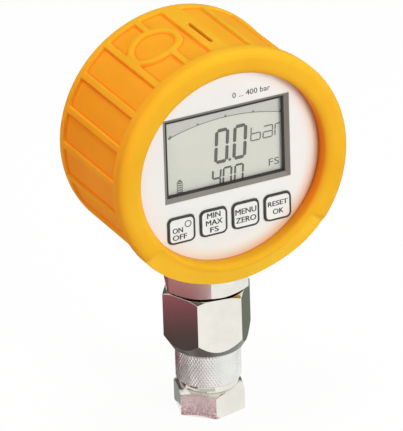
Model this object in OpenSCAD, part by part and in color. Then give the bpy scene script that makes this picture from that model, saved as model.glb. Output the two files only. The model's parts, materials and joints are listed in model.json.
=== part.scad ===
// Digital pressure gauge: a round battery-powered head in a ribbed rubber boot. The head
// turns on a stem, and the stem is screwed into a test-point adapter with a union nut.
// Millimetres. +Z is up and the display faces -Y. The origin is on the stem's axis, at
// the first turn of the union nut's thread.

/* [Housing] */
// Outer diameter of the housing
housing_d = 78; // [76:0.5:84]
// Depth of the housing, from the face to the rear cover
housing_depth = 40; // [39:0.5:46]
// How far the face stands in front of the stem's axis
face_y = 19.1; // [18.5:0.1:21]
// Wall of the housing
housing_wall = 3; // [2.6:0.1:3.2]
// Width of the ledges that the front plate and the rear cover lie on
ledge_w = 1.4; // [1:0.1:1.8]
// Thickness of the front plate
plate_t = 2; // [1.6:0.1:2.4]
// Thickness of the rear cover
cover_t = 2; // [1.6:0.1:2.4]
// Thickness of the rear cover's gasket
gasket_t = 0.8; // [0.5:0.1:1.2]
// Width of the bare recess for a rating plate on the rear cover
rating_w = 42; // [30:1:44]
// Height of the bare recess for a rating plate
rating_h = 24; // [16:1:26]
// Depth of the bare recess for a rating plate
rating_depth = 0.4; // [0.2:0.1:0.8]

/* [Boot] */
// Clearance between the boot and the housing
boot_gap = 0.1; // [0.05:0.05:0.2]
// Wall of the boot in the panels between its ribs
boot_wall = 1.2; // [1:0.1:1.6]
// Height of the ribs above the panels
rib_h = 0.9; // [0.5:0.1:1.4]
// Width of a rib
rib_w = 2.4; // [1.8:0.1:3]
// Angle from one rib to the next
rib_pitch = 17.7; // [16:0.1:18]
// Number of ribs on each side of the top pad
rib_count = 7; // [5:1:7]
// Half the angle of the plain band at the bottom of the boot
plain_half_angle = 51.6; // [48:0.2:53]
// How far the front ring stands out past the ribs
ring_flare = 1.3; // [0.8:0.1:1.8]
// How far the front ring stands in front of the face
ring_proud = 6; // [4.8:0.1:6.8]
// Width of the front ring over the face and the flare
ring_w = 8.6; // [7.6:0.1:9.2]
// Length of the front ring along the housing
ring_len = 1.3; // [1:0.1:2.5]
// Thickness of the boot's rear lip
rear_lip_t = 4; // [3.2:0.1:4.6]
// Width of the boot's rear lip
rear_lip_w = 3.6; // [3:0.1:4.2]
// Width of the rear rim that ends the panels
rear_rim_w = 4.4; // [3.6:0.1:6]
// Outer diameter of the raised circle
circle_d = 19.7; // [18:0.1:20]
// Width of the raised circle's ring
circle_w = 2; // [1.6:0.1:2.4]
// Clock angle of the raised circle, from the top towards the left
circle_angle = 21.3; // [20:0.1:23]
// Distance of the raised circle behind the stem's axis
circle_y = 3.2; // [0:0.1:5]
// Width of the pad at the top of the boot
pad_w = 7.2; // [6:0.1:8]
// Length of the slit in the top pad
slit_len = 16.7; // [12:0.1:20]
// Width of the slit in the top pad
slit_w = 1.1; // [0.8:0.1:1.6]
// Depth of the slit in the top pad
slit_depth = 1.2; // [0.6:0.1:1.6]
// Distance of the slit's middle in front of the stem's axis
slit_y = 1.2; // [0:0.1:3]
// Diameter of the opening for the stem
boot_hole_d = 34; // [33:0.1:34.4]

/* [Display] */
// Width of the display frame
frame_w = 46.5; // [44:0.5:47]
// Height of the display frame
frame_h = 30.2; // [28:0.2:31]
// Height of the display's centre above the head's centre
display_up = 5.8; // [5.4:0.1:6]
// Width of the display frame's bevel
bevel_w = 1.5; // [1:0.1:2]
// Depth of the display frame's bevel
bevel_depth = 1.5; // [1:0.1:1.8]
// Depth of the straight lip behind the bevel
frame_lip = 0.7; // [0.5:0.1:1]
// Width of the frame's flange behind the front plate
frame_flange = 1.7; // [1.2:0.1:1.8]
// Thickness of the clear window
window_t = 0.8; // [0.6:0.1:1]
// How far the window reaches under the frame's lip
window_lap = 1; // [0.6:0.1:1.1]
// Thickness of the liquid crystal glass
lcd_t = 2.1; // [1.6:0.1:2.4]
// How far the glass reaches under the frame's lip
lcd_lap = 1.7; // [1.4:0.1:1.8]
// Wall of the holder around the glass
holder_wall = 1; // [0.8:0.1:1.1]
// Depth of the holder between the glass and the board
holder_t = 3.8; // [3.4:0.1:4.2]
// Width of a contact strip between the glass and the board
strip_w = 1.2; // [0.8:0.1:1.4]

/* [Keys] */
// Width of a key
key_w = 9.9; // [9:0.1:10.2]
// Height of a key
key_h = 9.5; // [9:0.1:10]
// Radius of a key's corners
key_corner = 2; // [1:0.1:3]
// Distance from one key to the next
key_pitch = 11.93; // [11.8:0.01:12.4]
// Distance of the keys below the head's centre
key_down = 19.4; // [19:0.1:19.8]
// How far a key stands out of the front plate
key_proud = 0.6; // [0.5:0.1:1]
// Travel of a key
key_travel = 0.4; // [0.2:0.05:0.5]
// Width of a key's flange behind the front plate
key_flange = 0.5; // [0.3:0.05:0.6]
// Thickness of a key's flange
key_flange_t = 0.8; // [0.6:0.1:1]
// Diameter of a key's plunger
plunger_d = 3; // [2.4:0.1:3.4]

/* [Electronics] */
// Thickness of the main board
board_t = 1.6; // [1:0.1:2]
// Gap between the main board's edge and the housing
board_gap = 1; // [0.5:0.1:1.5]
// Width of the notch in the main board over the stem
notch_w = 25; // [23:0.5:26]
// Width of a key switch
switch_w = 6; // [5:0.1:6]
// Height of a key switch
switch_h = 3.4; // [3:0.1:3.6]
// Depth of the plunger's hole in a key switch
switch_hole = 1.6; // [1.4:0.1:2]
// Width of the sensor's socket on the board
socket_w = 8; // [6:0.5:10]
// Height of the sensor's socket on the board
socket_h = 5; // [4:0.1:6]
// Depth of the sensor's socket
socket_t = 3.4; // [3:0.1:4]
// Diameter of the sensor's lead
lead_d = 2.4; // [1.6:0.1:2.6]
// Bend radius of the sensor's lead
lead_bend = 3.4; // [3:0.1:3.6]

/* [Screws] */
// Distance of the screws' axes from the housing's inner wall
screw_inset = 4.5; // [4:0.1:5]
// Angle of the screws above and below the level of the head's centre
screw_angle = 58; // [57:0.5:59]
// Diameter of a screw's shank
screw_d = 2.9; // [2.5:0.1:3]
// Diameter of a screw's head
screw_head_d = 5.4; // [5:0.1:5.6]
// Height of a screw's head
screw_head_h = 1.8; // [1.4:0.1:2]
// Length of a cover screw's shank
cover_screw_len = 9; // [7:0.5:11]
// Length of a board screw's shank
board_screw_len = 7; // [5:0.5:9]
// Diameter of a screw boss
boss_d = 7; // [6.4:0.1:7.2]

/* [Batteries] */
// Diameter of a battery
battery_d = 14.5; // [13.5:0.1:14.5]
// Length of a battery with its stud
battery_len = 50.5; // [49:0.1:50.5]
// Diameter of a battery's stud
stud_d = 5.5; // [4.5:0.1:5.5]
// Height of a battery's stud
stud_h = 1; // [0.8:0.1:1.4]
// Distance from one battery's axis to the other's
battery_pitch = 16; // [15.6:0.1:16]
// Height of the upper battery's axis above the head's centre
battery_up = 12.4; // [12:0.1:12.6]
// Wall of the battery holder
tray_wall = 1; // [0.8:0.1:1.2]
// Clearance between the battery holder's corners and the housing
tray_gap = 2.2; // [1:0.1:2.4]
// Thickness of the foam pad behind the batteries
foam_t = 2.2; // [1.6:0.1:3]
// Room for a contact at each end of a battery
contact_room = 1; // [0.8:0.1:1.4]
// Thickness of the contact sheet
contact_t = 0.4; // [0.3:0.05:0.5]
// Width of a contact
contact_w = 9; // [7:0.5:11]

/* [Stem] */
// Width of the stem's hexagon across its flats
stem_af = 27; // [25:1:27]
// Height of the stem's hexagon
stem_hex_h = 11; // [10.5:0.1:13]
// Turn of the stem's hexagon about the stem's axis
stem_turn = 10.4; // [0:0.1:60]
// Diameter of the spigot that the head turns on
spigot_d = 18; // [17.6:0.1:18.4]
// Thickness of the thrust washer
washer_t = 0.5; // [0.4:0.05:1]
// Running clearance of the head and the nut on their spigots
run_gap = 0.05; // [0.02:0.01:0.08]
// Length of the housing's neck on the spigot
neck_h = 11.5; // [11:0.1:12]
// Wall of the housing's neck
neck_wall = 3.5; // [3:0.1:4]
// How far the neck stands below the housing
neck_drop = 1; // [0.6:0.1:1.4]
// How far the head turns each way from rest
swivel_range = 160; // [90:1:162]
// Diameter of the stop pin
stop_d = 2; // [1.6:0.1:2.2]
// Depth of the stop pin's groove in the spigot
stop_groove = 1.5; // [1.2:0.1:1.6]
// Thickness of the retaining ring
clip_t = 1; // [0.8:0.1:1.2]
// Width of the retaining ring's bite in the spigot
clip_bite = 0.7; // [0.5:0.1:0.9]
// How far the retaining ring stands out of the spigot
clip_proud = 2; // [1.5:0.1:2.4]
// Depth of the swivel seal's groove
seal_groove = 1.4; // [1.2:0.1:1.5]
// Diameter of the pressure sensor
sensor_d = 11.8; // [10.8:0.1:12]
// Height of the pressure sensor
sensor_h = 5; // [4:0.1:5.4]
// Height of the sensor's seal
sensor_seal_h = 1; // [0.8:0.1:1.2]
// Height of the sensor's clamp ring
clamp_h = 2.5; // [2:0.1:2.8]
// Bore of the sensor's clamp ring
clamp_bore = 6.4; // [5:0.1:7]
// Diameter of the pressure channel
channel_d = 3; // [2:0.1:3.2]

/* [Adapter] */
// Width of the adapter's hexagon across its flats
adapter_af = 27; // [26:0.5:30]
// Height of the adapter's hexagon
adapter_hex_h = 21.5; // [20:0.5:26]
// Turn of the adapter's hexagon about the stem's axis
adapter_turn = 52.4; // [0:0.1:60]
// Diameter of the stem's male thread
port_d = 13; // [12:0.1:13.4]
// Length of the stem's male thread
port_len = 11; // [9:0.1:12]
// Height of the seal between the stem and the adapter
port_seal_h = 0.5; // [0.3:0.1:0.8]
// Diameter of the adapter's spigot in the nut
nut_spigot_d = 15.1; // [14.6:0.1:15.6]
// Diameter of the adapter's nose
nose_d = 8; // [7.4:0.1:8.6]
// Distance of the nose's tip above the thread
nose_gap = 1.2; // [1:0.1:1.6]
// Length of the adapter's nose
nose_len = 4.4; // [4:0.1:5]
// Depth of the nose seal's groove
nose_groove = 1; // [0.8:0.1:1.2]
// Diameter of the pin that opens the test point's valve
pin_d = 1.8; // [1.4:0.1:2]
// How far the pin stands out of the nose
pin_proud = 1; // [0.6:0.1:1]

/* [Union nut] */
// Width of the nut's hexagon across its flats
nut_af = 22; // [21.6:0.1:24]
// Height of the nut's hexagon
nut_hex_h = 9; // [8:0.1:11]
// Turn of the nut's hexagon about the stem's axis
nut_turn = 14; // [0:0.1:60]
// Diameter of the waist between the hexagon and the knurl
waist_d = 20.4; // [19.6:0.1:21]
// Height of the waist
waist_h = 2.2; // [1:0.1:3]
// Diameter of the knurled sleeve
knurl_d = 22.4; // [22:0.1:24]
// Height of the knurled sleeve
knurl_h = 11.8; // [11:0.1:14]
// Chamfer of the knurled sleeve
knurl_chamfer = 0.5; // [0.3:0.1:0.8]
// Bore of the nut's thread
thread_bore = 13.84; // [13.6:0.01:14.2]
// Length of the nut's thread
thread_len = 6.4; // [5.6:0.1:6.8]
// Depth of the chamfer in the nut's mouth
lead_in = 1; // [0.8:0.1:1.2]
// Diameter of the relief behind the thread
relief_d = 16.4; // [16:0.1:17]
// Length of the relief behind the thread
relief_len = 2; // [1.6:0.1:2.4]
// Gap between the nut and the adapter's hexagon
nut_play = 0.5; // [0.4:0.1:1]
// Diameter of the wire that keeps the nut on the adapter
wire_d = 1.6; // [1.2:0.1:1.8]

/* [Hidden] */
$fn = 96;

// Overrun of every cut past the face that it opens
overrun = 2;
// Clearance between pieces that are fitted into each other and stay there
seat_gap = 0.1;
// Clearance between flat faces that may touch
face_gap = 0.02;
// Room below the stem's male thread in the adapter
port_room = 1;
// Free angle between the stop pin and the end of its groove
stop_margin = 0.5;

// Heights along the stem's axis, from the nut's thread up
nut_bottom = -lead_in;
nut_hex_top = nut_bottom + nut_hex_h;
knurl_bottom = nut_hex_top + waist_h;
nut_top = knurl_bottom + knurl_h;
adapter_bottom = nut_top + nut_play;
adapter_top = adapter_bottom + adapter_hex_h;
stem_bottom = adapter_top + port_seal_h;
stem_top = stem_bottom + stem_hex_h;
neck_bottom = stem_top + washer_t;
neck_top = neck_bottom + neck_h;
head_z = neck_bottom + neck_drop + housing_d / 2;

// The housing, in the head's own frame: x right, y up, z towards the front
face_z = face_y;
rear_z = face_z - housing_depth;
housing_r = housing_d / 2;
cavity_r = housing_r - housing_wall;
seat_r = cavity_r + ledge_w;
plate_r = seat_r - seat_gap;
front_ledge_z = face_z - plate_t;
cover_in_z = rear_z + cover_t;
rear_ledge_z = cover_in_z + gasket_t;
neck_r = spigot_d / 2 + run_gap + neck_wall;

// The boot
boot_in_r = housing_r + boot_gap;
panel_r = boot_in_r + boot_wall;
rib_r = panel_r + rib_h;
ring_r = rib_r + ring_flare;
lip_r = ring_r - ring_w;
lip_undercut = ring_w * 0.07;
ring_front_z = face_z + ring_proud;
ring_back_z = face_z - ring_len;
ring_inner_round = ring_w * 0.3;
ring_outer_round = ring_w * 0.34;
boot_rear_z = rear_z - rear_lip_t;
rear_lip_r = boot_in_r - rear_lip_w;
rear_round = rear_lip_t * 0.6;
panel_back_z = boot_rear_z + rear_rim_w;
// The flat bevel of the plain band starts this far behind the ring's front
plain_set_back = ring_proud * 0.07;
plain_drop = ring_proud * 0.56;

// The display stack, from the face inwards
opening_w = frame_w - 2 * bevel_w;
opening_h = frame_h - 2 * bevel_w;
lip_z = face_z - bevel_depth;
window_front_z = lip_z - frame_lip;
frame_back_z = window_front_z - window_t;
lcd_back_z = frame_back_z - lcd_t;
board_front_z = lcd_back_z - holder_t;
board_back_z = board_front_z - board_t;
window_w = opening_w + 2 * window_lap;
window_h = opening_h + 2 * window_lap;
lcd_w = opening_w + 2 * lcd_lap;
lcd_h = opening_h + 2 * lcd_lap;
holder_w = lcd_w + 2 * (seat_gap + holder_wall);
holder_h = lcd_h + 2 * (seat_gap + holder_wall);
strip_up = lcd_h / 2 - strip_w;
strip_len = lcd_w - 2 * holder_wall;

// The keys
key_flange_z = front_ledge_z - face_gap;
key_back_z = key_flange_z - key_flange_t;
switch_top_z = board_front_z + switch_h;
plunger_end_z = switch_top_z - (switch_hole - key_travel) / 2;

// The batteries and their tray
battery_r = battery_d / 2;
battery_back_z = cover_in_z + foam_t;
battery_z = battery_back_z + battery_r;
battery_front_z = battery_z + battery_r;
battery_low = battery_up - battery_pitch;
tray_in_w = battery_len + 2 * contact_room;
tray_in_top = battery_up + battery_r + seat_gap;
tray_in_bottom = battery_low - battery_r - seat_gap;
tray_front_z = battery_front_z + tray_wall;
tray_back_z = battery_back_z + tray_wall / 2;
tray_leg_d = 4 * tray_wall;
contact_bump_d = contact_w / 2;

// The screws, on a circle inside the housing's wall
screw_pitch_r = cavity_r - screw_inset;
boss_in_z = cover_in_z;
screw_places = [for (side = [-1, 1], level = [-1, 1])
    [side * screw_pitch_r * cos(screw_angle), level * screw_pitch_r * sin(screw_angle)]];

// The stem
spigot_r = spigot_d / 2;
neck_bore_r = spigot_r + run_gap;
seal_low_z = neck_bottom + seal_groove;
seal_width = seal_groove * 1.4;
stop_z = neck_bottom + neck_h * 0.74;
stop_width = stop_d + 4 * seat_gap;
stop_floor_r = spigot_r - stop_groove;
stop_tip_r = stop_floor_r + 2 * seat_gap;
stop_land = 180 - swivel_range - asin(stop_d / 2 / stop_tip_r) - stop_margin;
clip_groove_top = neck_top + clip_t + 2 * run_gap;
clip_bite_r = spigot_r - clip_bite;
spigot_top = clip_groove_top + 2 * clip_t;
sensor_top = spigot_top - clip_t - clamp_h;
sensor_bottom = sensor_top - sensor_h;
sensor_floor = sensor_bottom - sensor_seal_h;
sensor_bore_r = sensor_d / 2 + seat_gap;
channel_r = channel_d / 2;
// The socket on the board lies just above the bend of the sensor's lead
socket_down = head_z - spigot_top - lead_bend - lead_d;

// The adapter and the nut
port_r = port_d / 2;
port_end = stem_bottom - port_len;
port_floor = port_end - port_room;
port_relief = port_r * 0.1;
port_seal_r = port_r * 1.45;
nut_spigot_r = nut_spigot_d / 2;
nut_bore_r = nut_spigot_r + run_gap;
nose_tip = thread_len + nose_gap;
nose_r = nose_d / 2;
nose_top = nose_tip + nose_len;
nose_groove_low = nose_tip + nose_len * 0.3;
nose_groove_top = nose_tip + nose_len * 0.65;
wire_z = (knurl_bottom + nut_top) / 2;
wire_half = wire_d / 2 + run_gap;
relief_top = thread_len + relief_len;
thread_r = thread_bore / 2;
relief_r = relief_d / 2;

// Places its children in the head: x right, y up and z to the front, from the head's centre
module in_head() {
    translate([0, 0, head_z]) rotate([90, 0, 0]) children();
}

// Points of an arc about a centre, from one angle to another
function arc(centre, r, from, to, steps) = [for (i = [0:steps])
    centre + r * [cos(from + (to - from) * i / steps), sin(from + (to - from) * i / steps)]];

// A round disc or rod between two heights
module rod(r, low, high) {
    translate([0, 0, low]) cylinder(h = high - low, r = r);
}

// A round ring between two heights
module ring(r_in, r_out, low, high) {
    difference() {
        rod(r_out, low, high);
        rod(r_in, low - overrun, high + overrun);
    }
}

// A block centred on x and y, between two heights
module block(w, h, low, high, at = [0, 0]) {
    translate([at.x - w / 2, at.y - h / 2, low]) cube([w, h, high - low]);
}

// A block with round corners
module round_block(w, h, corner, low, high) {
    block(w - 2 * corner, h, low, high);
    block(w, h - 2 * corner, low, high);
    for (side = [-1, 1], level = [-1, 1])
        translate([side * (w / 2 - corner), level * (h / 2 - corner), 0]) rod(corner, low, high);
}

// A seal ring of round section
module seal_ring(mid_r, section_r, z) {
    rotate_extrude() translate([mid_r, z]) circle(r = section_r, $fn = 32);
}

// A hexagon bar with turned chamfers: each end narrows to its own radius
module hex_bar(af, low, high, turn, low_r, high_r, low_slope, high_slope) {
    corner_r = af / sqrt(3);
    reach = corner_r + overrun;
    intersection() {
        translate([0, 0, low]) rotate([0, 0, turn]) cylinder(h = high - low, r = corner_r, $fn = 6);
        rotate_extrude() polygon([
            [0, low], [low_r, low], [reach, low + (reach - low_r) * low_slope],
            [reach, high - (reach - high_r) * high_slope], [high_r, high], [0, high]]);
    }
}

// A screw with its head's seat at z = 0 and its shank going down
module screw(length) {
    slot = screw_d / 4;
    difference() {
        union() {
            rod(screw_d / 2, -length, screw_head_h / 2);
            rod(screw_head_d / 2, 0, screw_head_h);
        }
        for (turn = [0, 90]) rotate([0, 0, turn])
            block(screw_head_d * 0.6, slot, screw_head_h / 2, screw_head_h + overrun);
    }
}

// A prism that spans the plain band at the bottom of the boot
module plain_band(low, high) {
    reach = ring_r * 2;
    half = reach * tan(plain_half_angle);
    translate([0, 0, low]) linear_extrude(height = high - low)
        polygon([[0, 0], [-half, -reach], [half, -reach]]);
}

// Turns its children to a clock angle, from the top towards the right
module clock(angle) {
    rotate([0, 0, -angle]) children();
}

// The ribs between the panels, without the part inside the raised circle
module boot_ribs() {
    for (side = [-1, 1], i = [1:rib_count])
        clock(side * i * rib_pitch)
            block(rib_w, ring_r, panel_back_z - overrun, ring_back_z + overrun, [0, ring_r]);
    block(pad_w, ring_r, panel_back_z - overrun, ring_back_z + overrun, [0, ring_r]);
}

// A radial rod at the raised circle's place
module circle_rod(d) {
    clock(-circle_angle) translate([0, ring_r * 1.5, -circle_y])
        rotate([90, 0, 0]) cylinder(h = ring_r, d = d);
}

// What is cut from the boot's barrel to leave its ribs, pad and raised circle
module boot_panels() {
    difference() {
        ring(panel_r, ring_r + overrun, panel_back_z, ring_back_z);
        difference() {
            union() {
                boot_ribs();
                circle_rod(circle_d);
            }
            circle_rod(circle_d - 2 * circle_w);
        }
        plain_band(panel_back_z - overrun, ring_back_z + overrun);
    }
}

// What is cut from the front ring to leave the flat bevel of the plain band
module plain_bevel() {
    reach = ring_r + overrun;
    front = ring_front_z + overrun;
    intersection() {
        rotate_extrude() polygon([
            [lip_r - overrun, ring_front_z - plain_set_back],
            [lip_r + ring_inner_round, ring_front_z - plain_set_back],
            [rib_r + ring_flare / 2, ring_front_z - plain_drop],
            [rib_r, ring_back_z], [reach, ring_back_z], [reach, front], [lip_r - overrun, front]]);
        plain_band(ring_back_z - overrun, front + overrun);
    }
}

module protective_boot() {
    inner_centre = [lip_r + ring_inner_round, ring_front_z - ring_inner_round];
    outer_centre = [ring_r - ring_outer_round, ring_front_z - ring_outer_round];
    rear_centre = [rib_r - rear_round, boot_rear_z + rear_round];
    profile = concat(
        [[rear_lip_r, rear_z - face_gap], [boot_in_r, rear_z - face_gap],
            [boot_in_r, face_z + face_gap], [lip_r + lip_undercut, face_z + face_gap]],
        arc(inner_centre, ring_inner_round, 165, 90, 6),
        arc(outer_centre, ring_outer_round, 90, 0, 8),
        [[rib_r, ring_back_z]],
        arc(rear_centre, rear_round, 0, -90, 6),
        [[rear_lip_r + lip_undercut, boot_rear_z], [rear_lip_r, boot_rear_z + lip_undercut]]);
    color("orange") difference() {
        in_head() difference() {
            rotate_extrude() polygon(profile);
            boot_panels();
            plain_bevel();
            translate([0, rib_r - slit_depth / 2 + overrun / 2, slit_y])
                cube([slit_w, slit_depth + overrun, slit_len], center = true);
        }
        translate([0, 0, stem_bottom]) cylinder(h = head_z - stem_bottom, d = boot_hole_d);
    }
}

// Everything hollow in the housing, without its bosses
module housing_hollow() {
    difference() {
        union() {
            rod(seat_r, rear_z - overrun, rear_ledge_z);
            rod(cavity_r, rear_ledge_z - overrun, front_ledge_z + overrun);
            rod(seat_r, front_ledge_z, face_z + overrun);
        }
        for (place = screw_places) translate(place) rod(boss_d / 2, boss_in_z, board_back_z);
        for (place = screw_places) rotate([0, 0, atan2(place.y, place.x)])
            translate([screw_pitch_r, -boss_d / 4, rear_ledge_z])
                cube([housing_r - screw_pitch_r, boss_d / 2, board_back_z - rear_ledge_z]);
    }
}

module housing() {
    color("lightgray") difference() {
        union() {
            in_head() rod(housing_r, rear_z, face_z);
            rod(neck_r, neck_bottom, neck_top);
        }
        difference() {
            in_head() housing_hollow();
            rod(neck_r, neck_bottom - overrun, neck_top);
        }
        rod(neck_bore_r, neck_bottom - overrun, neck_top + overrun);
        translate([0, 0, stop_z]) rotate([-90, 0, 0])
            cylinder(h = neck_r + overrun, r = stop_d / 2 + run_gap);
        in_head() for (place = screw_places) translate(place) {
            rod(screw_d / 2 + run_gap, boss_in_z - overrun, boss_in_z + cover_screw_len);
            rod(screw_d / 2 + run_gap, board_back_z - board_screw_len, board_back_z + overrun);
        }
    }
}

// One opening or cap of a key, at the key's place
module key_shape(index, grow, low, high) {
    translate([(index - 1.5) * key_pitch, -key_down, 0])
        round_block(key_w + 2 * grow, key_h + 2 * grow, key_corner, low, high);
}

module front_plate() {
    color("white") in_head() difference() {
        rod(plate_r, front_ledge_z, face_z);
        block(frame_w + 2 * seat_gap, frame_h + 2 * seat_gap,
            front_ledge_z - overrun, face_z + overrun, [0, display_up]);
        for (index = [0:3]) key_shape(index, seat_gap * 2, front_ledge_z - overrun, face_z + overrun);
    }
}

module display_frame() {
    at = [0, display_up];
    color("gray") in_head() difference() {
        union() {
            block(frame_w, frame_h, frame_back_z, face_z, at);
            block(frame_w + 2 * frame_flange, frame_h + 2 * frame_flange,
                frame_back_z, front_ledge_z - face_gap, at);
        }
        block(opening_w, opening_h, frame_back_z - overrun, face_z + overrun, at);
        block(window_w + 2 * seat_gap, window_h + 2 * seat_gap,
            frame_back_z - overrun, window_front_z, at);
        translate([0, display_up, lip_z]) frame_bevel();
    }
}

// The tapered cut of the frame's bevel, up from z = 0, a little inside the frame's edge
module frame_bevel() {
    edge = bevel_w * 0.9;
    polyhedron(
        points = [for (level = [0, 1], corner = [[-1, -1], [1, -1], [1, 1], [-1, 1]])
            [corner.x * (opening_w / 2 + edge * level * (bevel_depth + overrun) / bevel_depth),
                corner.y * (opening_h / 2 + edge * level * (bevel_depth + overrun) / bevel_depth),
                level * (bevel_depth + overrun)]],
        faces = [[0, 1, 2, 3], [7, 6, 5, 4], [0, 4, 5, 1], [1, 5, 6, 2], [2, 6, 7, 3], [3, 7, 4, 0]]);
}

module display_window() {
    color("lightcyan") in_head()
        block(window_w, window_h, frame_back_z + face_gap, window_front_z - face_gap, [0, display_up]);
}

module lcd_glass() {
    color("darkseagreen") in_head()
        block(lcd_w, lcd_h, lcd_back_z, frame_back_z - face_gap, [0, display_up]);
}

// Places its children at the two contact strips
module at_strips() {
    for (level = [-1, 1]) translate([0, display_up + level * strip_up, 0]) children();
}

module lcd_holder() {
    at = [0, display_up];
    color("ivory") in_head() difference() {
        block(holder_w, holder_h, board_front_z, frame_back_z - face_gap, at);
        block(lcd_w + 2 * seat_gap, lcd_h + 2 * seat_gap, lcd_back_z, frame_back_z + overrun, at);
        at_strips() block(strip_len + 2 * seat_gap, strip_w + 2 * seat_gap,
            board_front_z - overrun, lcd_back_z + overrun);
    }
}

module contact_strips() {
    color("pink") in_head() at_strips() block(strip_len, strip_w, board_front_z, lcd_back_z);
}

module main_board() {
    notch_top = spigot_top - head_z + clip_t;
    color("darkgreen") in_head() difference() {
        rod(cavity_r - board_gap, board_back_z, board_front_z);
        block(notch_w, cavity_r, board_back_z - overrun, board_front_z + overrun,
            [0, notch_top - cavity_r / 2]);
        for (place = screw_places) translate(place)
            rod(screw_d / 2 + run_gap, board_back_z - overrun, board_front_z + overrun);
    }
}

// The larger components on the back of the board, sized and placed from the socket's sizes
module board_parts() {
    chip = socket_w;
    tall = socket_t * 0.4;
    can_r = socket_h * 0.5;
    at = [0, display_up + chip];
    color("dimgray") in_head() {
        block(chip, chip, board_back_z - tall, board_back_z, at);
        block(chip * 0.7, socket_h, board_back_z - tall, board_back_z, [-chip * 1.6, at.y]);
        block(chip * 0.7, socket_h, board_back_z - tall, board_back_z, [chip * 1.6, at.y]);
        translate([chip * 1.8, -chip * 1.6, 0]) rod(can_r, board_back_z - socket_t, board_back_z);
        translate([-chip * 1.8, -chip * 1.6, 0]) rod(can_r, board_back_z - socket_t, board_back_z);
    }
}

module key_switches() {
    color("black") in_head() for (index = [0:3])
        translate([(index - 1.5) * key_pitch, -key_down, 0]) difference() {
            block(switch_w, switch_w, board_front_z, switch_top_z);
            rod(plunger_d / 2 + 2 * seat_gap, switch_top_z - switch_hole, switch_top_z + overrun);
        }
}

module board_screws() {
    color("silver") in_head() for (place = screw_places)
        translate([place.x, place.y, board_front_z]) screw(board_t + board_screw_len - seat_gap);
}

module sensor_socket() {
    color("ivory") in_head() translate([0, -socket_down, 0])
        block(socket_w, socket_h, board_back_z - socket_t, board_back_z);
}

// The lead rises on the swivel's axis, so the head turns about it, and bends to the board
module sensor_lead() {
    lead_r = lead_d / 2;
    bend_z = head_z - socket_down - lead_bend;
    color("firebrick") {
        rod(lead_r, sensor_top, bend_z);
        translate([0, -lead_bend, bend_z]) rotate([90, 0, 90]) rotate_extrude(angle = 90)
            translate([lead_bend, 0]) circle(r = lead_r);
        translate([0, -lead_bend, bend_z + lead_bend]) rotate([90, 0, 0])
            rod(lead_r, 0, board_back_z - socket_t - lead_bend);
    }
}

// The tray's corners follow the housing's round wall
module battery_tray() {
    mid = (tray_in_top + tray_in_bottom) / 2;
    high = tray_in_top - tray_in_bottom;
    wide = tray_in_w + 2 * tray_wall;
    color("dimgray") in_head() difference() {
        union() {
            intersection() {
                block(wide, high + 2 * tray_wall, tray_back_z, tray_front_z, [0, mid]);
                rod(cavity_r - tray_gap, tray_back_z - overrun, tray_front_z + overrun);
            }
            for (side = [-1, 1]) translate([side * (tray_in_w / 2 - tray_leg_d), mid, 0])
                rod(tray_leg_d / 2, tray_front_z - tray_wall / 2, board_back_z);
        }
        block(tray_in_w, high, tray_back_z - overrun, battery_front_z, [0, mid]);
        for (up = [battery_up, battery_low])
            block(contact_t + seat_gap, contact_w / 2 + 2 * seat_gap, battery_front_z - overrun,
                tray_front_z + overrun, [tray_in_w / 2 - (contact_t + seat_gap) / 2, up]);
    }
}

// A battery along x, with its stud towards the given side
module battery(up, side) {
    can = battery_len - stud_h;
    color("slategray") in_head() translate([side * -battery_len / 2, up, battery_z])
        rotate([0, side * 90, 0]) {
            rod(battery_r, 0, can);
            rod(stud_d / 2, can - stud_h, battery_len);
        }
}

module battery_upper() battery(battery_up, 1);
module battery_lower() battery(battery_low, -1);

// One contact sheet at an end of the tray, with a bump for each battery that it serves
module contact_sheet(side, low, high, ups) {
    end = side * tray_in_w / 2;
    translate([end - side * contact_t / 2, 0, 0])
        block(contact_t, high - low, battery_z - contact_w / 2, battery_z + contact_w / 2,
            [0, (high + low) / 2]);
    for (up = ups) translate([end - side * contact_t / 2, up, battery_z])
        rotate([0, -side * 90, 0]) rod(contact_bump_d / 2, 0, contact_room - contact_t / 2);
}

module battery_contacts() {
    color("gold") in_head() {
        contact_sheet(-1, battery_low - contact_w / 2, battery_up + contact_w / 2,
            [battery_up, battery_low]);
        for (up = [battery_up, battery_low]) {
            contact_sheet(1, up - contact_w / 2, up + contact_w / 2, [up]);
            block(contact_t, contact_w / 2, battery_z, board_back_z,
                [tray_in_w / 2 - contact_t / 2, up]);
        }
    }
}

module battery_foam() {
    color("darkslategray") in_head() block(battery_len * 0.8, battery_pitch + battery_r,
        cover_in_z, battery_back_z, [0, (battery_up + battery_low) / 2]);
}

module rear_cover() {
    color("gainsboro") in_head() difference() {
        rod(plate_r, rear_z, cover_in_z);
        for (place = screw_places) translate(place)
            rod(screw_d / 2 + run_gap, rear_z - overrun, cover_in_z + overrun);
        round_block(rating_w, rating_h, rating_h / 8, rear_z - overrun, rear_z + rating_depth);
    }
}

module cover_gasket() {
    color("black") in_head() ring(cavity_r, plate_r, cover_in_z, rear_ledge_z);
}

module cover_screws() {
    color("silver") in_head() for (place = screw_places)
        translate([place.x, place.y, rear_z]) rotate([180, 0, 0])
            screw(cover_t + cover_screw_len - seat_gap);
}

module stop_pin() {
    color("silver") translate([0, stop_tip_r, stop_z]) rotate([-90, 0, 0])
        cylinder(h = neck_r - stop_tip_r, d = stop_d);
}

// The groove that the stop pin runs in, without the land that ends its travel
module stop_track() {
    reach = spigot_r * 2;
    half = reach * tan(stop_land);
    difference() {
        ring(stop_floor_r, spigot_r + overrun, stop_z - stop_width / 2, stop_z + stop_width / 2);
        translate([0, 0, stop_z - stop_width]) linear_extrude(height = 2 * stop_width)
            polygon([[0, 0], [-half, -reach], [half, -reach]]);
    }
}

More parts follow.
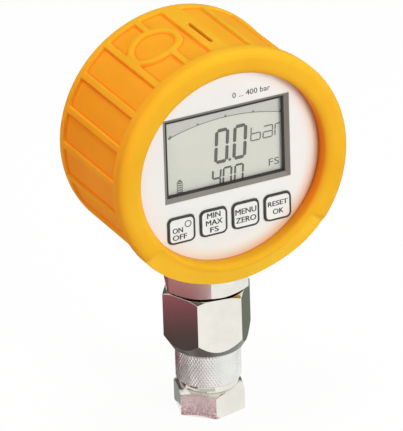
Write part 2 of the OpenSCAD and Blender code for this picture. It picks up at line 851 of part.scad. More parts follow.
module gauge_stem() {
    end_r = stem_af * 0.49;
    seal_floor_r = spigot_r - seal_groove;
    color("silver") difference() {
        union() {
            hex_bar(stem_af, stem_bottom, stem_top, stem_turn, end_r, end_r, tan(30), tan(30));
            rotate_extrude() polygon([
                [0, port_end], [port_r - port_relief, port_end],
                [port_r, port_end + port_relief], [port_r, stem_bottom - 2 * port_relief],
                [port_r - port_relief, stem_bottom - 2 * port_relief],
                [port_r - port_relief, stem_bottom + overrun],
                [spigot_r, stem_bottom + overrun], [spigot_r, seal_low_z],
                [seal_floor_r, seal_low_z], [seal_floor_r, seal_low_z + seal_width],
                [spigot_r, seal_low_z + seal_width], [spigot_r, neck_top],
                [clip_bite_r, neck_top], [clip_bite_r, clip_groove_top],
                [spigot_r, clip_groove_top], [spigot_r, spigot_top - seat_gap * 4],
                [spigot_r - seat_gap * 4, spigot_top], [0, spigot_top]]);
        }
        stop_track();
        rod(channel_r, port_end - overrun, spigot_top + overrun);
        rod(sensor_bore_r, sensor_floor, spigot_top + overrun);
    }
}

module thrust_washer() {
    color("white") ring(spigot_r + seat_gap, neck_r, stem_top, neck_bottom);
}

module swivel_seal() {
    section = seal_groove / 2 - run_gap / 2;
    color("black") seal_ring(spigot_r - seal_groove / 2, section, seal_low_z + seal_width / 2);
}

module retaining_ring() {
    gap = clip_proud;
    color("dimgray") difference() {
        ring(clip_bite_r + run_gap, spigot_r + clip_proud, neck_top + run_gap,
            neck_top + run_gap + clip_t);
        translate([-gap / 2, 0, neck_top - overrun])
            cube([gap, spigot_r + clip_proud + overrun, clip_t + 2 * overrun]);
    }
}

module pressure_sensor() {
    step = sensor_h * 0.3;
    color("gainsboro") {
        rod(sensor_d / 2, sensor_bottom, sensor_top - step);
        rod(sensor_d / 2 - step, sensor_top - 2 * step, sensor_top);
        ring(clamp_bore / 2 + step / 2, sensor_d / 2 - seat_gap, sensor_top - 2 * step, sensor_top);
    }
}

module sensor_seal() {
    section = sensor_seal_h / 2 - run_gap / 2;
    color("black") seal_ring(sensor_bore_r - section - seat_gap, section, sensor_floor + sensor_seal_h / 2);
}

module sensor_clamp() {
    slot = clamp_h / 2;
    color("silver") difference() {
        ring(clamp_bore / 2, sensor_bore_r - seat_gap / 2, sensor_top, sensor_top + clamp_h);
        translate([-sensor_d, -slot / 2, sensor_top + clamp_h / 2])
            cube([2 * sensor_d, slot, clamp_h]);
    }
}

module adapter_body() {
    groove_r = nose_r - nose_groove;
    color("silver") difference() {
        union() {
            hex_bar(adapter_af, adapter_bottom, adapter_top, adapter_turn,
                adapter_af * 0.455, adapter_af * 0.52, tan(58), tan(30));
            rotate_extrude() polygon([
                [0, nose_tip], [nose_r - seat_gap * 4, nose_tip], [nose_r, nose_tip + seat_gap * 4],
                [nose_r, nose_groove_low], [groove_r, nose_groove_low],
                [groove_r, nose_groove_top], [nose_r, nose_groove_top], [nose_r, nose_top],
                [nut_spigot_r, nose_top], [nut_spigot_r, wire_z - wire_half],
                [nut_spigot_r - wire_half, wire_z - wire_half],
                [nut_spigot_r - wire_half, wire_z + wire_half],
                [nut_spigot_r, wire_z + wire_half], [nut_spigot_r, adapter_bottom + overrun],
                [0, adapter_bottom + overrun]]);
        }
        rod(channel_r, nose_tip - overrun, port_floor + overrun);
        rod(port_r + run_gap, port_floor, adapter_top + overrun);
    }
}

module port_seal() {
    color("black") ring(port_r + run_gap, port_seal_r, adapter_top, stem_bottom);
}

module nose_seal() {
    low = nose_groove_low;
    high = nose_groove_top;
    section = (high - low) / 2 - run_gap;
    color("black") seal_ring(nose_r - nose_groove + section + run_gap / 2, section, (low + high) / 2);
}

module opening_pin() {
    collar_low = nose_tip + nose_len / 2;
    color("gray") {
        rod(pin_d / 2, nose_tip - pin_proud, nose_top);
        translate([0, 0, collar_low]) cylinder(h = nose_len / 2, r = channel_r - face_gap, $fn = 4);
    }
}

module nut_wire() {
    color("gray") seal_ring(nut_spigot_r + run_gap / 2, wire_d / 2, wire_z);
}

module union_nut() {
    mouth_r = thread_r + lead_in;
    waist_r = waist_d / 2;
    knurl_r = knurl_d / 2;
    color("silver") difference() {
        union() {
            hex_bar(nut_af, nut_bottom, nut_hex_top, nut_turn,
                nut_af * 0.56, nut_af * 0.47, tan(30), tan(30));
            rotate_extrude() polygon([
                [0, 0], [waist_r, 0], [waist_r, knurl_bottom],
                [knurl_r - knurl_chamfer, knurl_bottom], [knurl_r, knurl_bottom + knurl_chamfer],
                [knurl_r, nut_top - knurl_chamfer], [knurl_r - knurl_chamfer, nut_top], [0, nut_top]]);
        }
        rotate_extrude() polygon([
            [0, nut_bottom - overrun], [mouth_r + overrun, nut_bottom - overrun],
            [thread_r, 0], [thread_r, thread_len], [relief_r, thread_len], [relief_r, relief_top],
            [nut_bore_r, relief_top], [nut_bore_r, wire_z - wire_half],
            [nut_bore_r + wire_half, wire_z - wire_half],
            [nut_bore_r + wire_half, wire_z + wire_half],
            [nut_bore_r, wire_z + wire_half], [nut_bore_r, nut_top + overrun],
            [0, nut_top + overrun]]);
    }
}

// A key: cap, flange behind the front plate, and plunger into its switch
module key(index) {
    color("white") in_head() {
        key_shape(index, 0, key_back_z, face_z + key_proud);
        key_shape(index, key_flange, key_back_z, key_flange_z);
        translate([(index - 1.5) * key_pitch, -key_down, 0])
            rod(plunger_d / 2, plunger_end_z, key_flange_z);
    }
}

module key_power() key(0);
module key_peak() key(1);
module key_menu() key(2);
module key_reset() key(3);

protective_boot();
housing();
front_plate();
display_frame();
display_window();
lcd_glass();
lcd_holder();
contact_strips();
main_board();
board_parts();
key_switches();
board_screws();
sensor_socket();
sensor_lead();
battery_tray();
battery_upper();
battery_lower();
battery_contacts();
battery_foam();
rear_cover();
cover_gasket();
cover_screws();
stop_pin();
gauge_stem();
thrust_washer();
swivel_seal();
retaining_ring();
pressure_sensor();
sensor_seal();
sensor_clamp();
adapter_body();
port_seal();
nose_seal();
opening_pin();
nut_wire();
union_nut();
key_power();
key_peak();
key_menu();
key_reset();
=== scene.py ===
"""Digital pressure gauge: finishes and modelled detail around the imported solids."""

import json
import math

import bpy
from mathutils import Matrix, Vector


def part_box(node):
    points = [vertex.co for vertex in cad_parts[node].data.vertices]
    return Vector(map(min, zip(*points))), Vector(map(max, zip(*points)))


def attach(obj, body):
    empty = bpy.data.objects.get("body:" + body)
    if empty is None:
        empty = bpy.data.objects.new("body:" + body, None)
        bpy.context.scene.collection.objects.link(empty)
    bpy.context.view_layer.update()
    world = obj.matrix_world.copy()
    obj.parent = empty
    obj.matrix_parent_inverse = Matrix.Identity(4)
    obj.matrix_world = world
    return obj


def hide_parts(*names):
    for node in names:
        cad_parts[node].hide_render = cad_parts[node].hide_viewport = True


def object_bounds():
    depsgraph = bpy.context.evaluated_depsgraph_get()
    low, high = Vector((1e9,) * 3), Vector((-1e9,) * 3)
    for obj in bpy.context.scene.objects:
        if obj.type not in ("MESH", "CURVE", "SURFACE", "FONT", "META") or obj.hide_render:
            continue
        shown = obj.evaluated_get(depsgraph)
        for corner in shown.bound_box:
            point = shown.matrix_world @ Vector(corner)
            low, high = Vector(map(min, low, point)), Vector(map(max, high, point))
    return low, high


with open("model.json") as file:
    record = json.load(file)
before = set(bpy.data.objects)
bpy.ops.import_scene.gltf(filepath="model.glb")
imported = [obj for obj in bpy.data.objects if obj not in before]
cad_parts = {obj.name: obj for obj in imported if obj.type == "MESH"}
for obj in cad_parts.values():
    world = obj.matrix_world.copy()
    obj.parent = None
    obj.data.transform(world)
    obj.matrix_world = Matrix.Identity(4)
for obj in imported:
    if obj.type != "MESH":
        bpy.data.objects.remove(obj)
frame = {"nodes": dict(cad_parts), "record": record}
cad_low, cad_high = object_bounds()
nodes = frame["nodes"]

MM = 0.001
WHITE = (1, 1, 1)
# Heights and radii closer than this are taken as the same
TOLERANCE = 0.01 * MM
# Points closer than this are made one
WELD = 0.002 * MM

# Places read from the solids
plate_low, plate_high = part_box("front_plate")
boot_low, boot_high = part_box("protective_boot")
HEAD_Z = (plate_low.z + plate_high.z) / 2
FACE_Y = plate_low.y
GLASS_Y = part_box("lcd_glass")[0].y
WINDOW_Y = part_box("display_window")[0].y
NUT_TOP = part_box("union_nut")[1].z

# The head's own frame: x right, y up and z to the front, from the head's centre
HEAD = Matrix.Translation((0, 0, HEAD_Z)) @ Matrix.Rotation(math.radians(90), 4, "X")
FACE_Z = -FACE_Y


# Helpers

def activate(obj):
    bpy.ops.object.select_all(action="DESELECT")
    obj.select_set(True)
    bpy.context.view_layer.objects.active = obj


def edit(obj, selected="SELECT"):
    """Opens an object in edit mode, with all of it selected, or nothing for DESELECT."""
    activate(obj)
    bpy.ops.object.mode_set(mode="EDIT")
    bpy.ops.mesh.select_all(action=selected)


def leave_edit():
    bpy.ops.object.mode_set(mode="OBJECT")


def new_piece(name):
    """Names the object that an operator has just added."""
    obj = bpy.context.object
    obj.name = name
    obj.data.name = name
    return obj


def place(obj, matrix):
    """Moves an object's mesh, so that the object itself stays at the origin."""
    obj.data.transform(matrix)
    obj.data.update()


def apply_modifier(obj, kind, **settings):
    activate(obj)
    modifier = obj.modifiers.new(kind.lower(), kind)
    for key, value in settings.items():
        setattr(modifier, key, value)
    bpy.ops.object.modifier_apply(modifier=modifier.name)


def join(name, parts):
    activate(parts[0])
    for part in parts:
        part.select_set(True)
    if len(parts) > 1:
        bpy.ops.object.join()
    return new_piece(name)


def smooth(obj, degrees):
    activate(obj)
    bpy.ops.object.shade_smooth_by_angle(angle=math.radians(degrees))


def finish_piece(obj, look, body, replaced=()):
    """Gives a piece its material and its body, and hides the nodes that it replaces."""
    obj.data.materials.clear()
    obj.data.materials.append(materials[look])
    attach(obj, body)
    if replaced:
        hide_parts(*replaced)


def add_object(name, data):
    obj = bpy.data.objects.new(name, data)
    bpy.context.scene.collection.objects.link(obj)
    return obj


def copy_of_node(name, piece_name):
    """A welded copy of a node's mesh, as a new object."""
    obj = add_object(piece_name, nodes[name].data.copy())
    obj.data.name = piece_name
    edit(obj)
    bpy.ops.mesh.remove_doubles(threshold=0.001 * MM)
    bpy.ops.mesh.customdata_custom_splitnormals_clear()
    bpy.ops.mesh.dissolve_limited(angle_limit=math.radians(0.4))
    leave_edit()
    return obj


def softened(name, piece_name, edge):
    """A copy of a node with its sharp edges rounded."""
    obj = copy_of_node(name, piece_name)
    apply_modifier(obj, "BEVEL", width=edge, segments=3, limit_method="ANGLE",
                   angle_limit=math.radians(25), use_clamp_overlap=True, miter_outer="MITER_ARC")
    smooth(obj, degrees=32)
    apply_modifier(obj, "WEIGHTED_NORMAL", keep_sharp=True)
    return obj


def blend_step(value, low, high):
    """0 below low, 1 above high, and a smooth rise between them."""
    t = min(1.0, max(0.0, (value - low) / (high - low)))
    return t * t * (3 - 2 * t)


def smooth_min(a, b, reach):
    """The smaller of two distances, with a fillet of the given reach where they cross."""
    h = max(reach - abs(a - b), 0.0) / reach
    return min(a, b) - h * h * reach / 4


# Shader nodes and groups

# The mix node's sockets for two colours
MIX_FACTOR, MIX_A, MIX_B, MIX_RESULT = 0, 6, 7, 2


def feed(tree, value, socket):
    """Links an output to a socket, or sets the socket's own number or colour."""
    if isinstance(value, bpy.types.NodeSocket):
        tree.links.new(value, socket)
    elif isinstance(value, tuple):
        socket.default_value = (*value, 1)
    else:
        socket.default_value = value


def group(name, inputs, outputs):
    """An empty shader group, and the sockets that its nodes read from and write to."""
    tree = bpy.data.node_groups.new(name, "ShaderNodeTree")
    for label, value in inputs.items():
        kind = "NodeSocketVector" if isinstance(value, tuple) else "NodeSocketFloat"
        socket = tree.interface.new_socket(name=label, in_out="INPUT", socket_type=kind)
        socket.default_value = value
    for label in outputs:
        tree.interface.new_socket(name=label, in_out="OUTPUT", socket_type="NodeSocketFloat")
    start = tree.nodes.new("NodeGroupInput")
    end = tree.nodes.new("NodeGroupOutput")
    return tree, start.outputs, end.inputs


def new_node(tree, kind, **values):
    """A new shader node, with links or values for its inputs by name."""
    node = tree.nodes.new("ShaderNode" + kind)
    for label, value in values.items():
        feed(tree, value, node.inputs[label.replace("_", " ")])
    return node


def set_inputs(node, **values):
    for label, value in values.items():
        node.inputs[label.replace("_", " ")].default_value = value


def object_coords(tree):
    return tree.nodes.new("ShaderNodeTexCoord").outputs["Object"]


def noise(tree, vector, scale, detail=3.0, roughness=0.5):
    return new_node(tree, "TexNoise", Vector=vector, Scale=scale, Detail=detail,
                    Roughness=roughness).outputs["Fac"]


def math_node(tree, operation, a, b):
    node = tree.nodes.new("ShaderNodeMath")
    node.operation = operation
    feed(tree, a, node.inputs[0])
    feed(tree, b, node.inputs[1])
    return node.outputs[0]


def vector_node(tree, operation, vector, other=None):
    """The result of a vector operation: a number for a length or a dot product."""
    node = tree.nodes.new("ShaderNodeVectorMath")
    node.operation = operation
    tree.links.new(vector, node.inputs[0])
    if isinstance(other, bpy.types.NodeSocket):
        tree.links.new(other, node.inputs[1])
    elif other:
        node.inputs[1].default_value = other
    return node.outputs["Value" if operation in ("LENGTH", "DOT_PRODUCT") else "Vector"]


def map_range(tree, value, from_low, from_high, to_low=0.0, to_high=1.0):
    return new_node(tree, "MapRange", Value=value, From_Min=from_low, From_Max=from_high,
                    To_Min=to_low, To_Max=to_high).outputs["Result"]


def mix_colour(tree, factor, a, b, blend="MIX"):
    node = tree.nodes.new("ShaderNodeMix")
    node.data_type = "RGBA"
    node.blend_type = blend
    for index, value in ((MIX_FACTOR, factor), (MIX_A, a), (MIX_B, b)):
        feed(tree, value, node.inputs[index])
    return node.outputs[MIX_RESULT]


def mix_shaders(tree, factor, first, second, output):
    """Mixes two shader nodes into the surface of the tree's output."""
    node = tree.nodes.new("ShaderNodeMixShader")
    for socket, value in zip(node.inputs, (factor, first.outputs[0], second.outputs[0])):
        feed(tree, value, socket)
    tree.links.new(node.outputs[0], tree.nodes[output].inputs["Surface"])


def seen_ray(tree):
    """1 for rays that see a surface directly, in a mirror or through what is clear."""
    path = tree.nodes.new("ShaderNodeLightPath").outputs
    seen = math_node(tree, "MAXIMUM", path["Is Camera Ray"], path["Is Transmission Ray"])
    return math_node(tree, "MAXIMUM", seen, path["Is Glossy Ray"])


def build_grain():
    """Fine moulded or cast grain, with slow patches that change colour and gloss."""
    tree, start, end = group(
        "grain", {"Vector": (0, 0, 0), "Grain Scale": 2500.0, "Patch Scale": 60.0},
        ["Height", "Patch"])
    fine = noise(tree, start["Vector"], start["Grain Scale"], detail=2.0, roughness=0.6)
    slow = noise(tree, start["Vector"], start["Patch Scale"], detail=4.0, roughness=0.55)
    tree.links.new(fine, end["Height"])
    tree.links.new(map_range(tree, slow, 0.3, 0.7), end["Patch"])
    return tree


def build_streaks():
    """Marks of drawing or turning: noise that is stretched along one way."""
    tree, start, end = group(
        "streaks", {"Vector": (0, 0, 0), "Stretch": (1, 1, 0.02), "Scale": 4000.0},
        ["Height", "Smudge"])
    stretched = vector_node(tree, "MULTIPLY", start["Vector"], start["Stretch"])
    lines = noise(tree, stretched, start["Scale"], roughness=0.6)
    smudge = noise(tree, start["Vector"], 110.0, detail=5.0, roughness=0.6)
    tree.links.new(lines, end["Height"])
    tree.links.new(map_range(tree, smudge, 0.35, 0.7), end["Smudge"])
    return tree


GRAIN = build_grain()
STREAKS = build_streaks()


# Materials

# The darker tone's share of a finish's colour, and how much its roughness changes with it
PATCH_TINT = 0.9
PATCH_GLOSS = 0.08
SMUDGE_GLOSS = 0.06
GRAIN_HEIGHT = 0.02 * MM
STREAK_HEIGHT = 0.01 * MM

# Stretch of the streaks: along Z on what is drawn, round it on what is turned
DRAWN = (1, 1, 0.015)
TURNED = (0.05, 0.05, 1)

# A painted glow of the rubber's bounced light on the face between two radii, most of all towards
# one side
BOUNCE_GLOW_START = 29.0 * MM
BOUNCE_GLOW_END = 34.2 * MM
BOUNCE_GLOW_SIDE = (0.87, 0, -0.5)
BOUNCE_GLOW_WEAKEST = 0.1
BOUNCE_GLOW_POWER = 1.35

# The arc of the display's scale, from the head's centre
SCALE_R = 72.7 * MM
SCALE_X = 1.2 * MM
SCALE_TOP = 15.9 * MM
SCALE_STROKE = 0.24 * MM
SCALE_REACH = 20.9 * MM
SCALE_END = SCALE_TOP - SCALE_R + math.sqrt(SCALE_R ** 2 - SCALE_REACH ** 2)


def new_material(name, base, roughness, **sockets):
    """A material with a Principled shader, and its tree and shader."""
    material = bpy.data.materials.new(name)
    material.use_nodes = True
    tree = material.node_tree
    shader = tree.nodes["Principled BSDF"]
    set_inputs(shader, Base_Color=(*base, 1), Roughness=roughness, **sockets)
    return material, tree, shader


def place_group(tree, group_tree, **values):
    """The outputs of a group that is laid over the object's coordinates."""
    node = tree.nodes.new("ShaderNodeGroup")
    node.node_tree = group_tree
    tree.links.new(object_coords(tree), node.inputs["Vector"])
    set_inputs(node, **values)
    return node.outputs


def bump(tree, shader, height, strength, distance):
    node = new_node(tree, "Bump", Strength=strength, Distance=distance, Height=height)
    tree.links.new(node.outputs["Normal"], shader.inputs["Normal"])


def patch_colour(tree, shader, patch, colour, tint):
    """Feeds the shader a colour that is tinted outside the patches."""
    shade = mix_colour(tree, patch, tint, WHITE)
    tree.links.new(mix_colour(tree, 1.0, colour, shade, "MULTIPLY"), shader.inputs["Base Color"])


def patch_gloss(tree, shader, patch, outside, inside):
    """Feeds the shader one roughness outside the patches and another inside."""
    roughness = map_range(tree, patch, 0.0, 1.0, outside, inside)
    tree.links.new(roughness, shader.inputs["Roughness"])


def grained(name, base, roughness, strength=0.15, scale=2500.0):
    """A moulded, painted or cast finish: fine grain, slow change of colour and gloss."""
    material, tree, shader = new_material(name, base, roughness)
    grain = place_group(tree, GRAIN, Grain_Scale=scale)
    darker = tuple(channel * PATCH_TINT for channel in base)
    tree.links.new(mix_colour(tree, grain["Patch"], darker, base), shader.inputs["Base Color"])
    patch_gloss(tree, shader, grain["Patch"], roughness + PATCH_GLOSS, roughness - PATCH_GLOSS / 2)
    bump(tree, shader, grain["Height"], strength, GRAIN_HEIGHT)
    return material


def machined(name, base, roughness, stretch, strength=0.1):
    """A turned, drawn or ground metal: fine streaks and faint smudges."""
    material, tree, shader = new_material(name, base, roughness, Metallic=1.0)
    streaks = place_group(tree, STREAKS, Stretch=stretch)
    darker = tuple(channel * PATCH_TINT for channel in base)
    tree.links.new(mix_colour(tree, streaks["Smudge"], base, darker), shader.inputs["Base Color"])
    patch_gloss(tree, shader, streaks["Smudge"], roughness, roughness + SMUDGE_GLOSS)
    bump(tree, shader, streaks["Height"], strength, STREAK_HEIGHT)
    return material


def boot_rubber():
    """Satin orange rubber. Its mesh attribute paints shade: 1 on what stands up, lower on the
    panels and in the clefts; above 1 on the plain band it paints light on the bevel that faces
    down."""
    # The paler colour is painted light for the bevel that faces down; the redder and the dark
    # colours are painted shade for recesses and creases
    light = (0.98, 0.57, 0.04)
    base = (0.87, 0.47, 0.028)
    recess_shade_colour = (1.0, 0.285, 0.02)
    crease_shade_colour = (0.36, 0.07, 0.006)
    material, tree, shader = new_material(
        "boot_rubber", base, 0.5, Specular_IOR_Level=0.04, Specular_Tint=(1.0, 0.62, 0.25, 1),
        Subsurface_Weight=0.15, Subsurface_Radius=(2.6, 0.8, 0.1), Subsurface_Scale=1 * MM)
    attribute = tree.nodes.new("ShaderNodeAttribute")
    attribute.attribute_name = "relief"
    relief = attribute.outputs["Fac"]
    grain = place_group(tree, GRAIN, Grain_Scale=1500.0, Patch_Scale=45.0)
    # Painted shade towards the panels and clefts, painted light on the plain band's bevel
    colour = mix_colour(tree, map_range(tree, relief, 0.3, 0.8), recess_shade_colour, base)
    colour = mix_colour(tree, map_range(tree, relief, 0.0, 0.3), crease_shade_colour, colour)
    colour = mix_colour(tree, map_range(tree, relief, 1.0, 1.3), colour, light)
    patch_colour(tree, shader, grain["Patch"], colour, (0.93, 0.9, 0.8))
    patch_gloss(tree, shader, grain["Patch"], 0.56, 0.46)
    bump(tree, shader, grain["Height"], 0.12, 1.5 * GRAIN_HEIGHT)
    return material


def face_plastic():
    """Glossy white plate, with a painted glow of light bounced from the rubber near its edge, most
    of all low on the right.
    """
    base = (0.83, 0.845, 0.815)
    bounce_glow_tint = (0.72, 0.42, 0.23)
    material, tree, shader = new_material(
        "face_plastic", base, 0.2, Coat_Weight=0.3, Coat_Roughness=0.08)
    # Painted glow of the rubber's bounced light: near the edge, strongest towards one side
    offset = vector_node(tree, "SUBTRACT", object_coords(tree), (0, FACE_Y, HEAD_Z))
    near = map_range(tree, vector_node(tree, "LENGTH", offset), BOUNCE_GLOW_START, BOUNCE_GLOW_END)
    side = vector_node(tree, "DOT_PRODUCT", offset, BOUNCE_GLOW_SIDE)
    toward = map_range(tree, side, -0.2 * BOUNCE_GLOW_END, 0.9 * BOUNCE_GLOW_END, BOUNCE_GLOW_WEAKEST, 1.0)
    near = math_node(tree, "MULTIPLY", math_node(tree, "POWER", near, BOUNCE_GLOW_POWER), toward)
    grain = place_group(tree, GRAIN)
    colour = mix_colour(tree, near, base, bounce_glow_tint)
    patch_colour(tree, shader, grain["Patch"], colour, (0.985, 0.985, 0.985))
    patch_gloss(tree, shader, grain["Patch"], 0.25, 0.175)
    bump(tree, shader, grain["Height"], 0.03, GRAIN_HEIGHT)
    return material


def liquid_crystal():
    """Grey-green panel, a little darker above the scale's arc."""
    base = (0.67, 0.68, 0.6)
    band = (0.56, 0.56, 0.51)
    blur = 0.1 * MM
    material, tree, shader = new_material("lcd_glass", base, 0.35)
    centre = (SCALE_X, GLASS_Y, HEAD_Z + SCALE_TOP - SCALE_R)
    offset = vector_node(tree, "SUBTRACT", object_coords(tree), centre)
    radius = vector_node(tree, "LENGTH", offset)
    above = map_range(tree, radius, SCALE_R - blur, SCALE_R + blur)
    grain = place_group(tree, GRAIN, Grain_Scale=1200.0, Patch_Scale=90.0)
    colour = mix_colour(tree, above, base, band)
    patch_colour(tree, shader, grain["Patch"], colour, (0.97, 0.98, 0.96))
    return material


def clear_window():
    material, tree, shader = new_material("clear_window", (0.9, 0.93, 0.9), 0.05, Alpha=0.1)
    grain = place_group(tree, GRAIN, Patch_Scale=40.0)
    patch_gloss(tree, shader, grain["Patch"], 0.04, 0.09)
    return material


# Colour, roughness, and for some the grain's strength and scale
GRAINED = {
    "housing_paint": ((0.36, 0.37, 0.38), 0.45, 0.3, 1800.0),
    "frame_plastic": ((0.27, 0.265, 0.235), 0.42),
    "ivory_plastic": ((0.75, 0.72, 0.6), 0.45),
    "silicone": ((0.7, 0.4, 0.42), 0.6),
    "circuit_board": ((0.015, 0.12, 0.05), 0.35),
    "black_plastic": ((0.02, 0.02, 0.02), 0.4),
    "lead_insulation": ((0.4, 0.02, 0.015), 0.45),
    "battery_jacket": ((0.05, 0.055, 0.07), 0.3),
    "black_rubber": ((0.02, 0.02, 0.02), 0.6),
    "white_washer": ((0.8, 0.8, 0.78), 0.4),
    "print_ink": ((0.035, 0.034, 0.03), 0.45, 0.05),
    "segment_ink": ((0.045, 0.043, 0.035), 0.4, 0.05),
    "faint_ink": ((0.12, 0.12, 0.1), 0.4, 0.05),
}
# Colour, roughness, the streaks' stretch, and for some their strength
MACHINED = {
    "plated_steel": ((0.62, 0.62, 0.6), 0.25, TURNED),
    "spring_brass": ((0.7, 0.5, 0.2), 0.2, DRAWN),
    "bright_nickel": ((0.87, 0.845, 0.775), 0.12, DRAWN, 0.12),
    "knurled_nickel": ((0.86, 0.87, 0.84), 0.25, DRAWN),
    # Far darker than nickel: a painted dark reflection on the adapter's lower chamfer
    "turned_nickel": ((0.17, 0.18, 0.165), 0.3, TURNED),
    "spring_steel": ((0.3, 0.3, 0.3), 0.3, TURNED),
    "sensor_steel": ((0.6, 0.6, 0.6), 0.22, TURNED),
}
materials = {
    "boot_rubber": boot_rubber(),
    "face_plastic": face_plastic(),
    "lcd_glass": liquid_crystal(),
    "clear_window": clear_window(),
}
materials.update({name: grained(name, *look) for name, look in GRAINED.items()})
materials.update({name: machined(name, *look) for name, look in MACHINED.items()})

for part in frame["record"]["subparts"]:
    mesh = nodes[part["node"]].data
    for index in range(len(mesh.materials)):
        mesh.materials[index] = materials[part["material_slot"]]


# The boot: a spun shell whose barrel is pressed down to its panels between what stands up

BOOT_IN_R = 39.1 * MM
PANEL_DEPTH = 0.9 * MM
RIB_R = 41.2 * MM
RIB_W = 2.4 * MM
RIB_PITCH = math.radians(17.7)
RIB_COUNT = 7
PAD_W = 7.2 * MM
CIRCLE_R = 9.85 * MM
CIRCLE_W = 2.35 * MM
CIRCLE_ANGLE = math.radians(-21.3)
CIRCLE_Z = -3.2 * MM
SLIT_LENGTH = 16.7 * MM
SLIT_W = 1.1 * MM
SLIT_DEPTH = 1.2 * MM
SLIT_Z = 1.2 * MM
SLIT_EDGE = (-0.15 * MM, 0.12 * MM)
RING_R = boot_high.x
RING_FRONT = -boot_low.y
RING_BACK = 17.8 * MM
LIP_R = 33.9 * MM
LIP_FOOT_R = 34.0 * MM
BOOT_REAR = -boot_high.y
REAR_LIP_R = 35.5 * MM
REAR_FACE = -20.92 * MM
PANEL_REAR = BOOT_REAR + 4.4 * MM
PLATE_GAP = 0.02 * MM
STEM_HOLE_R = 17 * MM
STEM_HOLE_LENGTH = 30 * MM
SOFT_EDGE = 0.32 * MM
FILLET = 0.7 * MM

# Radii of the section's roundings, across and along the axis
RING_INNER_ROUND = (3.3 * MM, 2.7 * MM)
RING_OUTER_ROUND = (3.4 * MM, 2.9 * MM)
REAR_ROUND = (2.4 * MM, 2.4 * MM)
REAR_LIP_ROUND = (0.8 * MM, 0.8 * MM)

# The plain band at the bottom, and the radii and heights of its bevel in the ring's front
PLAIN_HALF = math.radians(51.6)
PLAIN_START = math.pi - PLAIN_HALF
PLAIN_BLEND = 1.3 * MM
BEVEL_BLEND = (LIP_R + 0.6 * MM, LIP_R + 2.4 * MM)
BEVEL_START_R = LIP_R + 1.5 * MM
BEVEL_END_R = RIB_R + 0.5 * MM
BEVEL_START_Z = RING_FRONT - 0.45 * MM
BEVEL_FILLET = 0.9 * MM
# How far in millimetres the bevel's end lies behind the front and outside the ribs, and how
# both change up to where it is deepest
BEVEL_DROP = 2.1
BEVEL_DROP_RISE = 1.26
BEVEL_PROUD = 1.15
BEVEL_PROUD_FALL = 0.5
DEEPEST_START = math.pi - 0.3 * PLAIN_HALF

# Painted shade and light on the relief: shade on the panels, in a dark line at a rib's foot
# and on the ring's inner wall, and light on the bevel, which faces down
PANEL_SHADE = 0.64
FOOT_SHADE = 0.47
FOOT_AT = 0.35 * MM
FOOT_REACH = 0.45 * MM
# Painted shade on the ring's inner wall, darkest at its foot and weaker towards the bottom
WALL_SHADE = 0.26
WALL_SHADE_FADE = 0.5
WALL_SHADE_FADE_ANGLES = (math.radians(110), math.radians(155))
WALL_R = LIP_R + 2.6 * MM
WALL_FOOT = (FACE_Z, FACE_Z + 0.6 * MM)
WALL_TOP = (FACE_Z + 3.4 * MM, RING_FRONT + 0.1 * MM)
# Painted light on the plain band's bevel, which faces down
BAND_PAINTED_LIGHT = 0.3
BAND_PRESS = 1.2 * MM

# Spacing of the shell's rows and columns, and how far the close ones reach past an edge
ROW = 1 * MM
EDGE_ROW = 0.25 * MM
COLUMN = 1.4 * MM
FINE_STEP = 0.36 * MM
SMALLEST_STEP = 0.12 * MM
FINE_MARGIN = 0.6 * MM
EDGE_MARGIN = 1.2 * MM
CIRCLE_MARGIN = 0.8 * MM
BARREL_REAR = PANEL_REAR - EDGE_MARGIN
# Columns near a rib's edge, the slit and the plain band's edge, in mm from their middles
RIB_COLUMNS = (0.4, 0.75, 0.95, 1.1, 1.25, 1.4, 1.6, 2.0)
SLIT_COLUMNS = (0.3, 0.45, 0.52, 0.6, 0.75, 1.1, 1.8)
PLAIN_COLUMNS = (-2.4, -1.6, -1.1, -0.7, -0.35, 0, 0.35, 0.7, 1.1, 1.6, 2.4)


def arc_points(centre, radii, start, end, steps):
    """Points of an elliptic arc in the profile's plane, radius first."""
    points = []
    for step in range(steps + 1):
        angle = math.radians(start + (end - start) * step / steps)
        points.append((centre[0] + radii[0] * math.cos(angle),
                       centre[1] + radii[1] * math.sin(angle)))
    return points


def boot_rows():
    """Heights of the barrel's rows, close together where something stands up across them."""
    rows = []
    z = RING_BACK
    while z > BARREL_REAR:
        rows.append(z)
        near_circle = abs(z - CIRCLE_Z) < CIRCLE_R + FINE_MARGIN
        near_slit = abs(abs(z - SLIT_Z) - SLIT_LENGTH / 2) < FINE_MARGIN
        near_edge = z > RING_BACK - EDGE_MARGIN or z < PANEL_REAR + EDGE_MARGIN
        z -= FINE_STEP if near_circle or near_slit else EDGE_ROW if near_edge else ROW
    return rows


